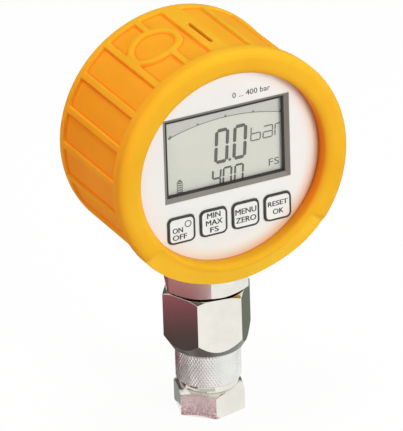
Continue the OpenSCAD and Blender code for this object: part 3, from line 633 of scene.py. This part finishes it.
def boot_profile():
    """Closed outline of the boot's section: (radius, height towards the front)."""
    centre = (LIP_R + RING_INNER_ROUND[0], RING_FRONT - RING_INNER_ROUND[1])
    inner = arc_points(centre, RING_INNER_ROUND, 165, 90, 9)
    centre = (RING_R - RING_OUTER_ROUND[0], RING_FRONT - RING_OUTER_ROUND[1])
    outer = arc_points(centre, RING_OUTER_ROUND, 90, 0, 12)
    flank = [(RING_R, RING_FRONT - 4.4 * MM), (RING_R - 0.08 * MM, RING_BACK + 1.5 * MM),
             (RING_R - 0.35 * MM, RING_BACK + 0.9 * MM), (RIB_R + 0.35 * MM, RING_BACK + 0.4 * MM)]
    barrel = [(RIB_R, z) for z in boot_rows()]
    centre = (RIB_R - REAR_ROUND[0], BOOT_REAR + REAR_ROUND[1])
    rear = arc_points(centre, REAR_ROUND, 0, -90, 7)
    centre = (REAR_LIP_R + REAR_LIP_ROUND[0], BOOT_REAR + REAR_LIP_ROUND[1])
    lip = arc_points(centre, REAR_LIP_ROUND, -90, -180, 4)
    inside = [(REAR_LIP_R, REAR_FACE), (BOOT_IN_R, REAR_FACE), (BOOT_IN_R, FACE_Z + PLATE_GAP),
              (LIP_FOOT_R, FACE_Z + PLATE_GAP), (LIP_FOOT_R, FACE_Z + 0.35 * MM),
              (LIP_FOOT_R, FACE_Z + 1.4 * MM)]
    return inner + outer + flank + barrel + rear + lip + inside


def edge_marks():
    """Clock angles at and near the edges of all that stands up."""
    marks = {0.0}
    for index in range(-RIB_COUNT, RIB_COUNT + 1):
        centre = index * RIB_PITCH
        marks.add(centre)
        for offset in RIB_COLUMNS:
            wider = (PAD_W - RIB_W) / 2 if index == 0 else 0.0
            shift = (offset * MM + wider) / RIB_R
            marks.update((centre - shift, centre + shift))
    for offset in SLIT_COLUMNS:
        marks.update((-offset * MM / RIB_R, offset * MM / RIB_R))
    half = (CIRCLE_R + CIRCLE_MARGIN) / RIB_R
    steps = int(2 * half * RIB_R / FINE_STEP)
    fine = [CIRCLE_ANGLE - half + 2 * half * i / steps for i in range(steps + 1)]
    marks = {mark for mark in marks if abs(mark - CIRCLE_ANGLE) > half} | set(fine)
    for offset in PLAIN_COLUMNS:
        marks.update((PLAIN_START + offset * MM / RIB_R, -PLAIN_START - offset * MM / RIB_R))
    return sorted(mark for mark in marks if abs(mark) < math.pi)


def clock_columns():
    """Clock angles of the shell's columns, from the bottom round, none of them far apart."""
    marks = edge_marks()
    columns = [marks[0]]
    for mark in marks[1:] + [marks[0] + 2 * math.pi]:
        start = columns[-1]
        gap = (mark - start) * RIB_R
        if gap >= SMALLEST_STEP:
            parts = max(1, round(gap / COLUMN))
            columns += [start + (mark - start) * (i + 1) / parts for i in range(parts)]
    return columns[:-1]


def raised_distance(angle, z):
    """Distance outside what stands up on the barrel, and less than zero on it."""
    index = max(-RIB_COUNT, min(RIB_COUNT, round(angle / RIB_PITCH)))
    width = PAD_W if index == 0 else RIB_W
    rib = abs(angle - index * RIB_PITCH) * RIB_R - width / 2
    across = (angle - CIRCLE_ANGLE) * RIB_R
    from_circle = math.hypot(across, z - CIRCLE_Z)
    rib = max(rib, CIRCLE_R - CIRCLE_W - from_circle)
    distance = abs(from_circle - (CIRCLE_R - CIRCLE_W / 2)) - CIRCLE_W / 2
    plain = (PLAIN_START - abs(angle)) * RIB_R
    for other in (rib, z - PANEL_REAR, RING_BACK - z, plain):
        distance = smooth_min(distance, other, FILLET)
    return distance


def slit_depth(angle, z):
    across = abs(angle) * RIB_R - SLIT_W / 2
    along = abs(z - SLIT_Z) - SLIT_LENGTH / 2
    return SLIT_DEPTH * (1 - blend_step(max(across, along), *SLIT_EDGE))


def plain_bevel(angle, r, z):
    """Presses the front ring down to the flat bevel of the plain band."""
    share = blend_step((abs(angle) - PLAIN_START) * RIB_R, -PLAIN_BLEND, PLAIN_BLEND)
    share *= blend_step(r, *BEVEL_BLEND)
    if share == 0:
        return r, z
    depth = blend_step(abs(angle), PLAIN_START, DEEPEST_START)
    end_z = RING_FRONT - (BEVEL_DROP + BEVEL_DROP_RISE * depth) * MM
    slope = (end_z - BEVEL_START_Z) / (BEVEL_END_R - BEVEL_START_R)
    limit_z = BEVEL_START_Z + slope * max(0.0, r - BEVEL_START_R)
    proud = (BEVEL_PROUD - BEVEL_PROUD_FALL * depth) * MM
    limit_r = RIB_R + proud * blend_step(z, RING_BACK, end_z)
    new_z = smooth_min(z, limit_z, BEVEL_FILLET)
    new_r = min(r, limit_r)
    return r + (new_r - r) * share, z + (new_z - z) * share


def shape_barrel(angle, r, z):
    """Presses a point of the barrel down to its panel or slit. Gives its radius and its tone,
    which paints shade on the panels, at the ribs' feet and in the slit.
    """
    distance = raised_distance(angle, z)
    raised = 1 - blend_step(distance, -SOFT_EDGE, SOFT_EDGE * 0.8)
    depth = slit_depth(angle, z)
    # A line of painted shade along the foot of what stands up
    foot = max(0.0, 1 - abs(distance - FOOT_AT) / FOOT_REACH)
    tone = PANEL_SHADE + (1 - PANEL_SHADE) * raised - FOOT_SHADE * foot
    return r - PANEL_DEPTH * (1 - raised) - depth, min(tone, 1 - depth / SLIT_DEPTH)


def shape_ring(angle, r, z):
    """Presses a point of the ring to its bevel. Gives its radius, height and tone, which paints
    shade on the inner wall and light on the bevel.
    """
    tone = 1.0
    # Painted shade on the inner wall, weaker towards the bottom
    if r < WALL_R and z > FACE_Z:
        wall_shade = WALL_SHADE + WALL_SHADE_FADE * blend_step(abs(angle), *WALL_SHADE_FADE_ANGLES)
        tone = wall_shade * blend_step(z, *WALL_FOOT)
        tone += (1 - wall_shade) * blend_step(z, *WALL_TOP)
    new_r, new_z = plain_bevel(angle, r, z)
    # Painted light where the bevel presses the ring down
    return new_r, new_z, tone + BAND_PAINTED_LIGHT * min(1.0, (z - new_z) / BAND_PRESS)


def spin_shell(profile, steps):
    """The profile as a closed ring of edges, spun round the head's axis and welded."""
    bpy.ops.mesh.primitive_circle_add(vertices=len(profile), radius=RING_R)
    shell = new_piece("boot_shell")
    for vertex, (r, z) in zip(shell.data.vertices, profile):
        vertex.co = (0, r, z)
    edit(shell)
    bpy.ops.mesh.spin(steps=steps, angle=2 * math.pi, center=(0, 0, 0), axis=(0, 0, 1),
                      use_auto_merge=True)
    bpy.ops.mesh.select_all(action="SELECT")
    bpy.ops.mesh.remove_doubles(threshold=WELD)
    bpy.ops.mesh.normals_make_consistent(inside=False)
    leave_edit()
    return shell


def build_boot():
    columns = clock_columns()
    boot = spin_shell(boot_profile(), len(columns))
    relief = boot.data.attributes.new("relief", "FLOAT", "POINT")
    turn = 2 * math.pi / len(columns)
    for vertex in boot.data.vertices:
        x, y, z = vertex.co
        r = math.hypot(x, y)
        angle = columns[round(math.atan2(x, y) / turn) % len(columns)]
        if angle > math.pi:
            angle -= 2 * math.pi
        tone = 1.0
        if abs(r - RIB_R) < TOLERANCE and BARREL_REAR - TOLERANCE < z < RING_BACK + TOLERANCE:
            r, tone = shape_barrel(angle, r, z)
        elif z > RING_BACK:
            r, z, tone = shape_ring(angle, r, z)
        vertex.co = (r * math.sin(angle), r * math.cos(angle), z)
        relief.data[vertex.index].value = tone
    place(boot, HEAD)
    bpy.ops.mesh.primitive_cylinder_add(vertices=96, radius=STEM_HOLE_R, depth=STEM_HOLE_LENGTH,
                                        location=(0, 0, HEAD_Z - RIB_R))
    cutter = new_piece("stem_hole_cutter")
    apply_modifier(boot, "BOOLEAN", object=cutter, operation="DIFFERENCE", solver="EXACT")
    bpy.data.objects.remove(cutter)
    smooth(boot, degrees=40)
    finish_piece(boot, "boot_rubber", "head", ["protective_boot"])


build_boot()


# The metal: the nut's body with a smaller core, a sleeve of pyramids round it, the stem and
# the adapter

METAL_EDGE = 0.12 * MM
ADAPTER_EDGE = 0.14 * MM
KNURL_R = 11.2 * MM
KNURL_DEPTH = 0.15 * MM
KNURL_COLUMNS = 124
KNURL_ROWS = 12
KNURL_CORE_R = 10.05 * MM
KNURL_BOTTOM = 10.2 * MM
KNURL_CHAMFER = 0.5 * MM
KNURL_LOW = KNURL_BOTTOM + KNURL_CHAMFER
KNURL_HIGH = NUT_TOP - KNURL_CHAMFER
# The sleeve's inside is sunk into the core, which starts a little below it
SLEEVE_SINK = 0.3 * MM
CORE_BOTTOM = KNURL_BOTTOM - 0.2 * MM
# The adapter's turned chamfer, given a darker nickel as a painted dark reflection: its top, and
# the range of its faces' normals in height
PAINTED_DARK_CHAMFER_TOP = NUT_TOP + 8 * MM
PAINTED_DARK_CHAMFER_LOWEST = -0.75
PAINTED_DARK_CHAMFER_HIGHEST = -0.25


def build_nut():
    nut = softened("union_nut", "nut_body", METAL_EDGE)
    for vertex in nut.data.vertices:
        x, y, z = vertex.co
        r = math.hypot(x, y)
        if z > CORE_BOTTOM and r > KNURL_CORE_R:
            vertex.co = (x * KNURL_CORE_R / r, y * KNURL_CORE_R / r, z)
    finish_piece(nut, "bright_nickel", "nut", ["union_nut"])


def build_knurl():
    height = KNURL_HIGH - KNURL_LOW
    bpy.ops.mesh.primitive_circle_add(vertices=KNURL_COLUMNS, radius=KNURL_R)
    sleeve = new_piece("nut_knurl")
    place(sleeve, Matrix.Translation((0, 0, KNURL_LOW)))
    edit(sleeve)
    for _ in range(KNURL_ROWS):
        bpy.ops.mesh.extrude_region_move(
            TRANSFORM_OT_translate={"value": (0, 0, height / KNURL_ROWS)})
    leave_edit()
    turn = 2 * math.pi / KNURL_COLUMNS
    share = 1 - KNURL_DEPTH / KNURL_R
    for vertex in sleeve.data.vertices:
        x, y, z = vertex.co
        column = round(math.atan2(y, x) / turn)
        row = round((z - KNURL_LOW) / height * KNURL_ROWS)
        if (column + row) % 2 == 0:
            vertex.co = (x * share, y * share, z)
    edit(sleeve)
    bpy.ops.mesh.quads_convert_to_tris(quad_method="SHORTEST_DIAGONAL")
    leave_edit()
    close_knurl(sleeve)
    finish_piece(sleeve, "knurled_nickel", "nut")


def close_knurl(sleeve):
    """Turns the open sleeve in at both ends and closes it on its inside."""
    chamfered = 1 - KNURL_CHAMFER / KNURL_R
    core_share = (KNURL_CORE_R - SLEEVE_SINK) / KNURL_R
    for level, end in ((KNURL_LOW, KNURL_BOTTOM), (KNURL_HIGH, NUT_TOP)):
        edit(sleeve, "DESELECT")
        leave_edit()
        vertices = sleeve.data.vertices
        for edge in sleeve.data.edges:
            edge.select = all(abs(vertices[i].co.z - level) < TOLERANCE for i in edge.vertices)
        for vertex in vertices:
            vertex.select = abs(vertex.co.z - level) < TOLERANCE
        bpy.ops.object.mode_set(mode="EDIT")
        bpy.ops.mesh.extrude_region_move(TRANSFORM_OT_translate={"value": (0, 0, end - level)})
        bpy.ops.transform.resize(value=(chamfered, chamfered, 1), center_override=(0, 0, end))
        bpy.ops.mesh.extrude_region_move()
        bpy.ops.transform.resize(value=(core_share, core_share, 1), center_override=(0, 0, end))
        leave_edit()
    edit(sleeve, "DESELECT")
    bpy.ops.mesh.select_non_manifold()
    bpy.ops.mesh.bridge_edge_loops()
    bpy.ops.mesh.select_all(action="SELECT")
    bpy.ops.mesh.normals_make_consistent(inside=False)
    leave_edit()


def build_connector():
    """The stem and the adapter, whose lower chamfer gets a much darker nickel, a painted dark
    reflection.
    """
    stem = softened("gauge_stem", "stem_body", METAL_EDGE)
    finish_piece(stem, "bright_nickel", "connector", ["gauge_stem"])
    adapter = softened("adapter_body", "adapter_hexagon", ADAPTER_EDGE)
    finish_piece(adapter, "bright_nickel", "connector", ["adapter_body"])
    # A darker nickel on the lower chamfer: painted dark reflection
    adapter.data.materials.append(materials["turned_nickel"])
    for face in adapter.data.polygons:
        centre = face.center
        slopes_down = PAINTED_DARK_CHAMFER_LOWEST < face.normal.z < PAINTED_DARK_CHAMFER_HIGHEST
        outside = math.hypot(centre.x, centre.y) > KNURL_R
        face.material_index = 1 if slopes_down and outside and centre.z < PAINTED_DARK_CHAMFER_TOP else 0


build_nut()
build_knurl()
build_connector()


# What is printed on the face and shown on the display, flat in the head's frame

INK_T = 0.06 * MM
DIGIT_SLANT = math.radians(4)

# The two ends of each segment, as shares of a digit's width and height
SEGMENT_SHARES = {
    "top": ((0, 1), (1, 1)), "middle": ((0, 0.5), (1, 0.5)), "bottom": ((0, 0), (1, 0)),
    "upper_left": ((0, 0.5), (0, 1)), "upper_right": ((1, 0.5), (1, 1)),
    "lower_left": ((0, 0), (0, 0.5)), "lower_right": ((1, 0), (1, 0.5)),
}
LIT = {
    "0": ("top", "bottom", "upper_left", "upper_right", "lower_left", "lower_right"),
    "4": ("middle", "upper_left", "upper_right", "lower_right"),
    "b": ("upper_left", "lower_left", "middle", "bottom", "lower_right"),
    "a": ("top", "upper_right", "middle", "lower_left", "bottom", "lower_right"),
    "r": ("upper_left", "lower_left", "top"),
}

# Rows of figures: name, ink, foot and stroke, and each figure's sign, left edge, width and
# height, in millimetres
FIGURE_ROWS = [
    ("display_reading", "segment_ink", 0.1, 1.2,
     [("0", -2.9, 4.05, 11.3), ("0", 3.9, 3.95, 11.3)]),
    ("display_range", "segment_ink", -8.8, 0.72,
     [("4", -4.4, 2.9, 6.3), ("0", -0.4, 2.9, 6.3), ("0", 3.9, 2.9, 6.3)]),
    ("display_unit", "faint_ink", 4.9, 0.46,
     [("b", 10.3, 3.5, 5.0), ("a", 14.9, 3.4, 4.2), ("r", 19.3, 1.9, 4.2)]),
]
POINT_AT = (2.35 * MM, 0.1 * MM)
POINT_R = 0.5 * MM

# The scale's marks, this share of half its spread apart, and the block at its left end
TICK_SIZE = 0.55 * MM
TICK_R = SCALE_R + TICK_SIZE * 0.7
TICK_SPACING = 0.485
BLOCK_ENDS = (-0.3 * MM, 0.5 * MM)
BLOCK_H = 0.8 * MM

BATTERY_X = -16.4 * MM
BATTERY_FOOT = -8.1 * MM
BATTERY_W = 2.1 * MM
BATTERY_H = 4.6 * MM
BATTERY_BARS = 5
BATTERY_PITCH = 0.82 * MM

KEY_W = 9.94 * MM
KEY_H = 9.54 * MM
KEY_CORNER = 2.0 * MM
KEY_RIM_W = 0.64 * MM
KEY_RIM_LIFT = 0.02 * MM
KEY_DOWN = 19.4 * MM
POWER_SIGN_R = 1.25 * MM
POWER_SIGN_W = 0.3 * MM
POWER_SIGN_AT = (2.35 * MM, 1.8 * MM)
# Words are laid twice, this far to each side, which makes their strokes bolder
DOUBLE_STRIKE = 0.06

DISPLAY_UP = 5.8 * MM
# A black ring round the window: painted shade for the frame's shaded inner wall
SHADE_RING_W = 44.2 * MM
SHADE_RING_H = 27.7 * MM
SHADE_RING_CORNER = 0.4 * MM
SHADE_RING_STROKE = 0.7 * MM
SHADE_RING_DEPTH = 0.95 * MM

# Words off the keys: text, middle, width and height
FULL_SCALE = ("FS", (18.7 * MM, -4.4 * MM), 3.9 * MM, 2.5 * MM)
MEASURING_RANGE = ("0 ... 400 bar", (9.5 * MM, 24.4 * MM), 14 * MM, 1.9 * MM)
# Words on each key: text, place from the key's middle, width and height, in millimetres
KEY_WORDS = {
    "key_power": [("ON", -1.5, 0.1, 3.7, 1.9), ("OFF", -0.8, -2.45, 5.2, 1.9)],
    "key_peak": [("MIN", 0.0, 2.65, 4.9, 1.9), ("MAX", 0.1, 0.05, 6.1, 1.9),
                 ("FS", 0.1, -2.6, 3.1, 1.9)],
    "key_menu": [("MENU", 0.0, 1.35, 7.7, 2.0), ("ZERO", 0.0, -1.7, 7.5, 2.0)],
    "key_reset": [("RESET", 0.0, 1.4, 7.3, 1.75), ("OK", 0.1, -1.6, 4.0, 1.9)],
}


def shift_flat(obj, x, y):
    """Moves a flat piece within its plane."""
    place(obj, Matrix.Translation((x, y, 0)))


def thicken(obj, depth):
    """Gives a flat piece its thickness, half to each side."""
    apply_modifier(obj, "SOLIDIFY", thickness=depth, offset=0)
    edit(obj)
    bpy.ops.mesh.normals_make_consistent(inside=False)
    leave_edit()


def bar(ends, width, point=0.32):
    """A flat bar from one end to the other, with ends that narrow to a blunt point."""
    (x0, y0), (x1, y1) = ends
    half = math.hypot(x1 - x0, y1 - y0) / 2
    shoulder = half - width * point
    tip = width * 0.2 if point else width / 2
    bpy.ops.mesh.primitive_circle_add(vertices=8, radius=width, fill_type="NGON")
    piece = new_piece("bar")
    outline = [(half, tip), (shoulder, width / 2), (-shoulder, width / 2), (-half, tip),
               (-half, -tip), (-shoulder, -width / 2), (shoulder, -width / 2), (half, -tip)]
    for vertex, (x, y) in zip(piece.data.vertices, outline):
        vertex.co = (x, y, 0)
    turn = Matrix.Rotation(math.atan2(y1 - y0, x1 - x0), 4, "Z")
    place(piece, Matrix.Translation(((x0 + x1) / 2, (y0 + y1) / 2, 0)) @ turn)
    return piece


def polar_strip(name, centre, radii, angles, steps):
    """A flat strip between two radii and two angles round a centre."""
    bpy.ops.mesh.primitive_grid_add(x_subdivisions=steps, y_subdivisions=1, size=1)
    strip = new_piece(name)
    for vertex in strip.data.vertices:
        angle = angles[0] + (angles[1] - angles[0]) * (vertex.co.x + 0.5)
        radius = radii[0] + (radii[1] - radii[0]) * (vertex.co.y + 0.5)
        vertex.co = (centre[0] + radius * math.cos(angle), centre[1] + radius * math.sin(angle), 0)
    return strip


def rim(name, width, height, corner, stroke, steps=6):
    """A flat rim round a rounded rectangle."""
    bpy.ops.mesh.primitive_circle_add(vertices=4 * (steps + 1), radius=corner, fill_type="NGON")
    outline = new_piece(name)
    for index, vertex in enumerate(outline.data.vertices):
        quarter, step = divmod(index, steps + 1)
        angle = math.radians(90 * (quarter + step / steps))
        side = 1 if quarter in (0, 3) else -1
        level = 1 if quarter in (0, 1) else -1
        vertex.co = (side * (width / 2 - corner) + corner * math.cos(angle),
                     level * (height / 2 - corner) + corner * math.sin(angle), 0)
    edit(outline)
    bpy.ops.mesh.inset(thickness=stroke, depth=0)
    bpy.ops.mesh.delete(type="FACE")
    leave_edit()
    return outline


def disc(centre, radius):
    bpy.ops.mesh.primitive_circle_add(vertices=20, radius=radius, fill_type="NGON")
    piece = new_piece("disc")
    shift_flat(piece, *centre)
    return piece


def words(text, centre, width, height):
    """Flat lettering that fills a box of the given width and height."""
    bpy.ops.object.text_add()
    obj = new_piece("words")
    obj.data.body = text
    obj.data.size = 1
    obj.data.resolution_u = 3
    bpy.ops.object.convert(target="MESH")
    obj = bpy.context.object
    xs = [vertex.co.x for vertex in obj.data.vertices]
    ys = [vertex.co.y for vertex in obj.data.vertices]
    middle = Vector(((min(xs) + max(xs)) / 2, (min(ys) + max(ys)) / 2, 0))
    scale = Matrix.Diagonal((width / (max(xs) - min(xs)), height / (max(ys) - min(ys)), 1, 1))
    place(obj, Matrix.Translation((*centre, 0)) @ scale @ Matrix.Translation(-middle))
    edit(obj)
    bpy.ops.mesh.remove_doubles(threshold=WELD)
    leave_edit()
    return obj


def lay(name, parts, ink, y=GLASS_Y, body="head", depth=INK_T):
    """Joins flat parts and lays them on the display's glass, or on what has its front at y."""
    piece = join(name, parts)
    thicken(piece, depth)
    place(piece, HEAD @ Matrix.Translation((0, 0, -y + depth / 2)))
    finish_piece(piece, ink, body)


def figure(sign, left, foot, width, height, stroke):
    """The lit segments of one figure, with gaps where they meet."""
    parts = []
    gap = stroke * 0.2
    for name in LIT[sign]:
        start, end = [Vector((x * width, y * height)) for x, y in SEGMENT_SHARES[name]]
        along = (end - start).normalized() * gap
        ends = [(left + point.x + math.tan(DIGIT_SLANT) * point.y, foot + point.y)
                for point in (start + along, end - along)]
        parts.append(bar(ends, stroke))
    return parts


def build_figures():
    """The reading, the range and the unit."""
    for name, ink, foot, stroke, figures in FIGURE_ROWS:
        parts = []
        for sign, left, width, height in figures:
            parts += figure(sign, left * MM, foot * MM, width * MM, height * MM, stroke * MM)
        if name == "display_reading":
            parts.append(disc(POINT_AT, POINT_R))
        lay(name, parts, ink)


def build_scale():
    """The scale's arc with its marks and the block at its left end."""
    spread = math.asin(SCALE_REACH / SCALE_R)
    centre = (SCALE_X, SCALE_TOP - SCALE_R)
    upright = math.pi / 2
    radii = (SCALE_R - SCALE_STROKE / 2, SCALE_R + SCALE_STROKE / 2)
    parts = [polar_strip("scale", centre, radii, (upright + spread, upright - spread), 48)]
    for step in range(-2, 3):
        angle = upright - spread * TICK_SPACING * step
        bpy.ops.mesh.primitive_circle_add(vertices=3, radius=TICK_SIZE, fill_type="NGON")
        mark = new_piece("mark")
        at = (centre[0] + TICK_R * math.cos(angle), centre[1] + TICK_R * math.sin(angle), 0)
        place(mark, Matrix.Translation(at) @ Matrix.Rotation(angle - upright, 4, "Z"))
        parts.append(mark)
    ends = [(centre[0] - SCALE_REACH + shift, SCALE_END) for shift in BLOCK_ENDS]
    parts.append(bar(ends, BLOCK_H, point=0))
    lay("display_scale", parts, "faint_ink")


def level_bar(x, y, half, width):
    return bar(((x - half, y), (x + half, y)), width, point=0)


def build_battery_sign():
    """The battery's case with its cap and its charge in bars."""
    case = rim("case", BATTERY_W, BATTERY_H, 0.2 * MM, 0.26 * MM, steps=2)
    shift_flat(case, BATTERY_X, BATTERY_FOOT + BATTERY_H / 2)
    cap_y = BATTERY_FOOT + BATTERY_H + 0.3 * MM
    parts = [case, level_bar(BATTERY_X, cap_y, 0.5 * MM, 0.5 * MM)]
    for step in range(BATTERY_BARS):
        y = BATTERY_FOOT + 0.65 * MM + step * BATTERY_PITCH
        parts.append(level_bar(BATTERY_X, y, 0.65 * MM, 0.42 * MM))
    lay("display_battery", parts, "segment_ink")


def build_keys():
    """The black rim and the words on each key's cap."""
    for name, lines in KEY_WORDS.items():
        low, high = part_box(name)
        x = (low.x + high.x) / 2
        outline = rim(name + "_rim", KEY_W, KEY_H, KEY_CORNER, KEY_RIM_W)
        shift_flat(outline, x, -KEY_DOWN)
        lay(name + "_rim", [outline], "print_ink", FACE_Y - KEY_RIM_LIFT, name,
            FACE_Y - low.y + INK_T)
        parts = []
        for text, across, up, width, height in lines:
            for shift in (-DOUBLE_STRIKE, DOUBLE_STRIKE):
                middle = (x + (across + shift) * MM, -KEY_DOWN + up * MM)
                parts.append(words(text, middle, width * MM, height * MM))
        if name == "key_power":
            sign = rim("sign", 2 * POWER_SIGN_R, 2 * POWER_SIGN_R, POWER_SIGN_R, POWER_SIGN_W)
            shift_flat(sign, x + POWER_SIGN_AT[0], -KEY_DOWN + POWER_SIGN_AT[1])
            parts.append(sign)
        lay(name + "_words", parts, "print_ink", low.y, name)


def build_window_shade_ring():
    """A black ring between the display's frame and its window: painted shade for the frame's
    shaded inner wall.
    """
    shade_ring = rim("window_shade_ring", SHADE_RING_W, SHADE_RING_H, SHADE_RING_CORNER, SHADE_RING_STROKE, steps=3)
    thicken(shade_ring, SHADE_RING_DEPTH)
    place(shade_ring, HEAD @ Matrix.Translation((0, DISPLAY_UP, -WINDOW_Y + SHADE_RING_DEPTH / 2)))
    finish_piece(shade_ring, "black_rubber", "head")


build_figures()
lay("display_full_scale", [words(*FULL_SCALE)], "segment_ink")
build_scale()
build_battery_sign()
build_keys()
lay("face_print", [words(*MEASURING_RANGE)], "print_ink", FACE_Y)
build_window_shade_ring()


# The floor, the light and the camera

CAMERA_TURN = math.radians(-26.17)
CAMERA_RISE = math.radians(25.44)
CAMERA_ROLL = math.radians(-1.82)
CAMERA_TARGET = Vector((-0.81, 0, 69.66)) * MM
CAMERA_DISTANCE = 2326 * MM
CAMERA_LENS = 581

AMBIENT = 0.2
FLOOR_DROP = 0.02 * MM
# The floor's colour for light that bounces, and how much of its seen colour is its own glow
FLOOR_BOUNCE = (0.5, 0.5, 0.5)
FLOOR_GLOW = 0.95

BROWN = (0.075, 0.06, 0.055)
MAROON = (0.25, 0.075, 0.1)
DARK_MAROON = (0.12, 0.035, 0.045)
SILVER = (0.56, 0.56, 0.54)
ROSE = (0.48, 0.2, 0.21)
GREEN = (0.17, 0.19, 0.155)
GREY = (0.3, 0.32, 0.3)
UMBER = (0.1, 0.085, 0.08)
DARK_BANDS = [(0.0, BROWN), (0.22, BROWN), (0.45, MAROON), (0.57, ROSE)]
PINK_BANDS = [(0.2, (0.36, 0.2, 0.24)), (0.5, (0.6, 0.4, 0.45)), (0.8, (0.95, 0.88, 0.9))]

# Cards on the floor: name, radii in millimetres, angles in degrees, and a colour or bands of it
CARDS = [
    ("card_left", (44, 172), (136, 204), DARK_BANDS),
    ("card_edge", (30, 44), (95, 158), DARK_MAROON),
    ("card_middle", (36, 62), (206, 264), SILVER),
    ("card_thin", (12, 29), (100, 165), GREY),
    ("card_near", (12, 27.3), (188, 262), PINK_BANDS),
    ("card_waist", (27.4, 33.6), (166, 238), BROWN),
    ("card_right", (42, 150), (8, 62), GREEN),
    ("card_back", (44, 152), (66, 136), MAROON),
]
# How much the bands' edges are clouded, and the share of the bands that a card spans
CLOUDS = {"card_left": (0.3, 1.0), "card_near": (3.0, 0.25)}
CLOUD_SCALE = 1300.0
CARD_LIFT = 0.2 * MM
HIGH_CARD_AT = (0.15, 0.3, 0.175)
HIGH_CARD_SIZE = (0.54, 0.345)

# Lamps: name, place, size, power and colour
LAMPS = [
    ("key", (0.26, -0.92, 0.36), 0.5, 7.2, WHITE),
    ("top", (0.0, 0.02, 1.05), 0.6, 6.5, WHITE),
    ("fill", (-1.0, 0.02, 0.12), 0.6, 6.3, (1.0, 0.46, 0.27)),
]


def build_floor():
    """White where it is seen, grey for light that bounces, and with the object's shadow."""
    bpy.ops.mesh.primitive_plane_add(size=6, location=(0, 0, cad_low.z - FLOOR_DROP))
    floor = new_piece("floor")
    material, tree, shader = new_material("pale_floor", WHITE, 0.9, Specular_IOR_Level=0.0)
    glow = new_node(tree, "Emission", Color=WHITE)
    seen = seen_ray(tree)
    tree.links.new(mix_colour(tree, seen, FLOOR_BOUNCE, WHITE), shader.inputs["Base Color"])
    share = math_node(tree, "MULTIPLY", seen, FLOOR_GLOW)
    mix_shaders(tree, share, shader, glow, "Material Output")
    floor.data.materials.append(material)


def build_world():
    """White where it is seen, and a weak light from all sides."""
    world = bpy.data.worlds.new("studio")
    bpy.context.scene.world = world
    world.use_nodes = True
    tree = world.node_tree
    ambient = tree.nodes["Background"]
    set_inputs(ambient, Color=(*WHITE, 1), Strength=AMBIENT)
    white = new_node(tree, "Background", Color=WHITE, Strength=1.0)
    mix_shaders(tree, seen_ray(tree), ambient, white, "World Output")


def glow_in_reflections(card):
    """Lets a card glow and show only in what is polished. Gives its tree and colour socket."""
    material = bpy.data.materials.new(card.name)
    material.use_nodes = True
    tree = material.node_tree
    tree.nodes.remove(tree.nodes["Principled BSDF"])
    glow = tree.nodes.new("ShaderNodeEmission")
    tree.links.new(glow.outputs[0], tree.nodes["Material Output"].inputs["Surface"])
    card.data.materials.append(material)
    card.visible_camera = False
    card.visible_diffuse = False
    card.visible_transmission = False
    card.visible_shadow = False
    return tree, glow.inputs["Color"]


def banded_colour(tree, radii, bands, mottle, spread):
    """Clouded bands of colour from a card's inner to its outer edge."""
    coords = object_coords(tree)
    share = map_range(tree, vector_node(tree, "LENGTH", coords), *radii,
                      0.5 - spread / 2, 0.5 + spread / 2)
    cloud = math_node(tree, "SUBTRACT", noise(tree, coords, CLOUD_SCALE), 0.5)
    share = math_node(tree, "ADD", share, math_node(tree, "MULTIPLY", cloud, mottle))
    ramp = tree.nodes.new("ShaderNodeValToRGB")
    tree.links.new(share, ramp.inputs[0])
    elements = ramp.color_ramp.elements
    while len(elements) < len(bands):
        elements.new(0.5)
    for element, (position, colour) in zip(elements, bands):
        element.position = position
        element.color = (*colour, 1)
    return ramp.outputs["Color"]


def build_cards():
    """Dark and tinted cards round the gauge, which give the metal its contrast."""
    for name, radii, angles, colour in CARDS:
        radii = [radius * MM for radius in radii]
        card = polar_strip(name, (0, 0), radii, [math.radians(angle) for angle in angles], 24)
        place(card, Matrix.Translation((0, 0, cad_low.z + CARD_LIFT)))
        tree, socket = glow_in_reflections(card)
        if name in CLOUDS:
            colour = banded_colour(tree, radii, colour, *CLOUDS[name])
        feed(tree, colour, socket)


def build_high_card():
    """An upright card behind the gauge, which shows in the metal's upper faces."""
    bpy.ops.mesh.primitive_plane_add(size=1)
    card = new_piece("card_high")
    stand = Matrix.Translation(HIGH_CARD_AT) @ Matrix.Rotation(math.radians(90), 4, "X")
    place(card, stand @ Matrix.Diagonal((*HIGH_CARD_SIZE, 1, 1)))
    tree, socket = glow_in_reflections(card)
    feed(tree, UMBER, socket)


def add_lamp(name, position, size, power, colour):
    data = bpy.data.lights.new(name, "AREA")
    data.color = colour
    data.shape = "SQUARE"
    data.size = size
    data.energy = power
    lamp = add_object(name, data)
    lamp.visible_camera = False
    lamp.visible_glossy = False
    lamp.location = position
    aim = Vector((0, 0, HEAD_Z)) - lamp.location
    lamp.rotation_mode = "QUATERNION"
    lamp.rotation_quaternion = aim.to_track_quat("-Z", "Y")


def build_camera():
    """The photograph's camera."""
    data = bpy.data.cameras.new("camera")
    camera = add_object("camera", data)
    side = Vector((math.cos(CAMERA_TURN), math.sin(CAMERA_TURN), 0))
    back = Vector((math.sin(CAMERA_TURN) * math.cos(CAMERA_RISE),
                   -math.cos(CAMERA_TURN) * math.cos(CAMERA_RISE), math.sin(CAMERA_RISE)))
    up = back.cross(side)
    right = side * math.cos(CAMERA_ROLL) + up * math.sin(CAMERA_ROLL)
    top = back.cross(right)
    turn = Matrix((right, top, back)).transposed().to_4x4()
    camera.matrix_world = Matrix.Translation(CAMERA_TARGET + back * CAMERA_DISTANCE) @ turn
    data.lens = CAMERA_LENS
    data.clip_start = 0.1
    data.clip_end = 20
    bpy.context.scene.camera = camera


build_floor()
build_world()
build_cards()
build_high_card()
for lamp in LAMPS:
    add_lamp(*lamp)
build_camera()
bpy.context.scene.view_settings.view_transform = "Standard"
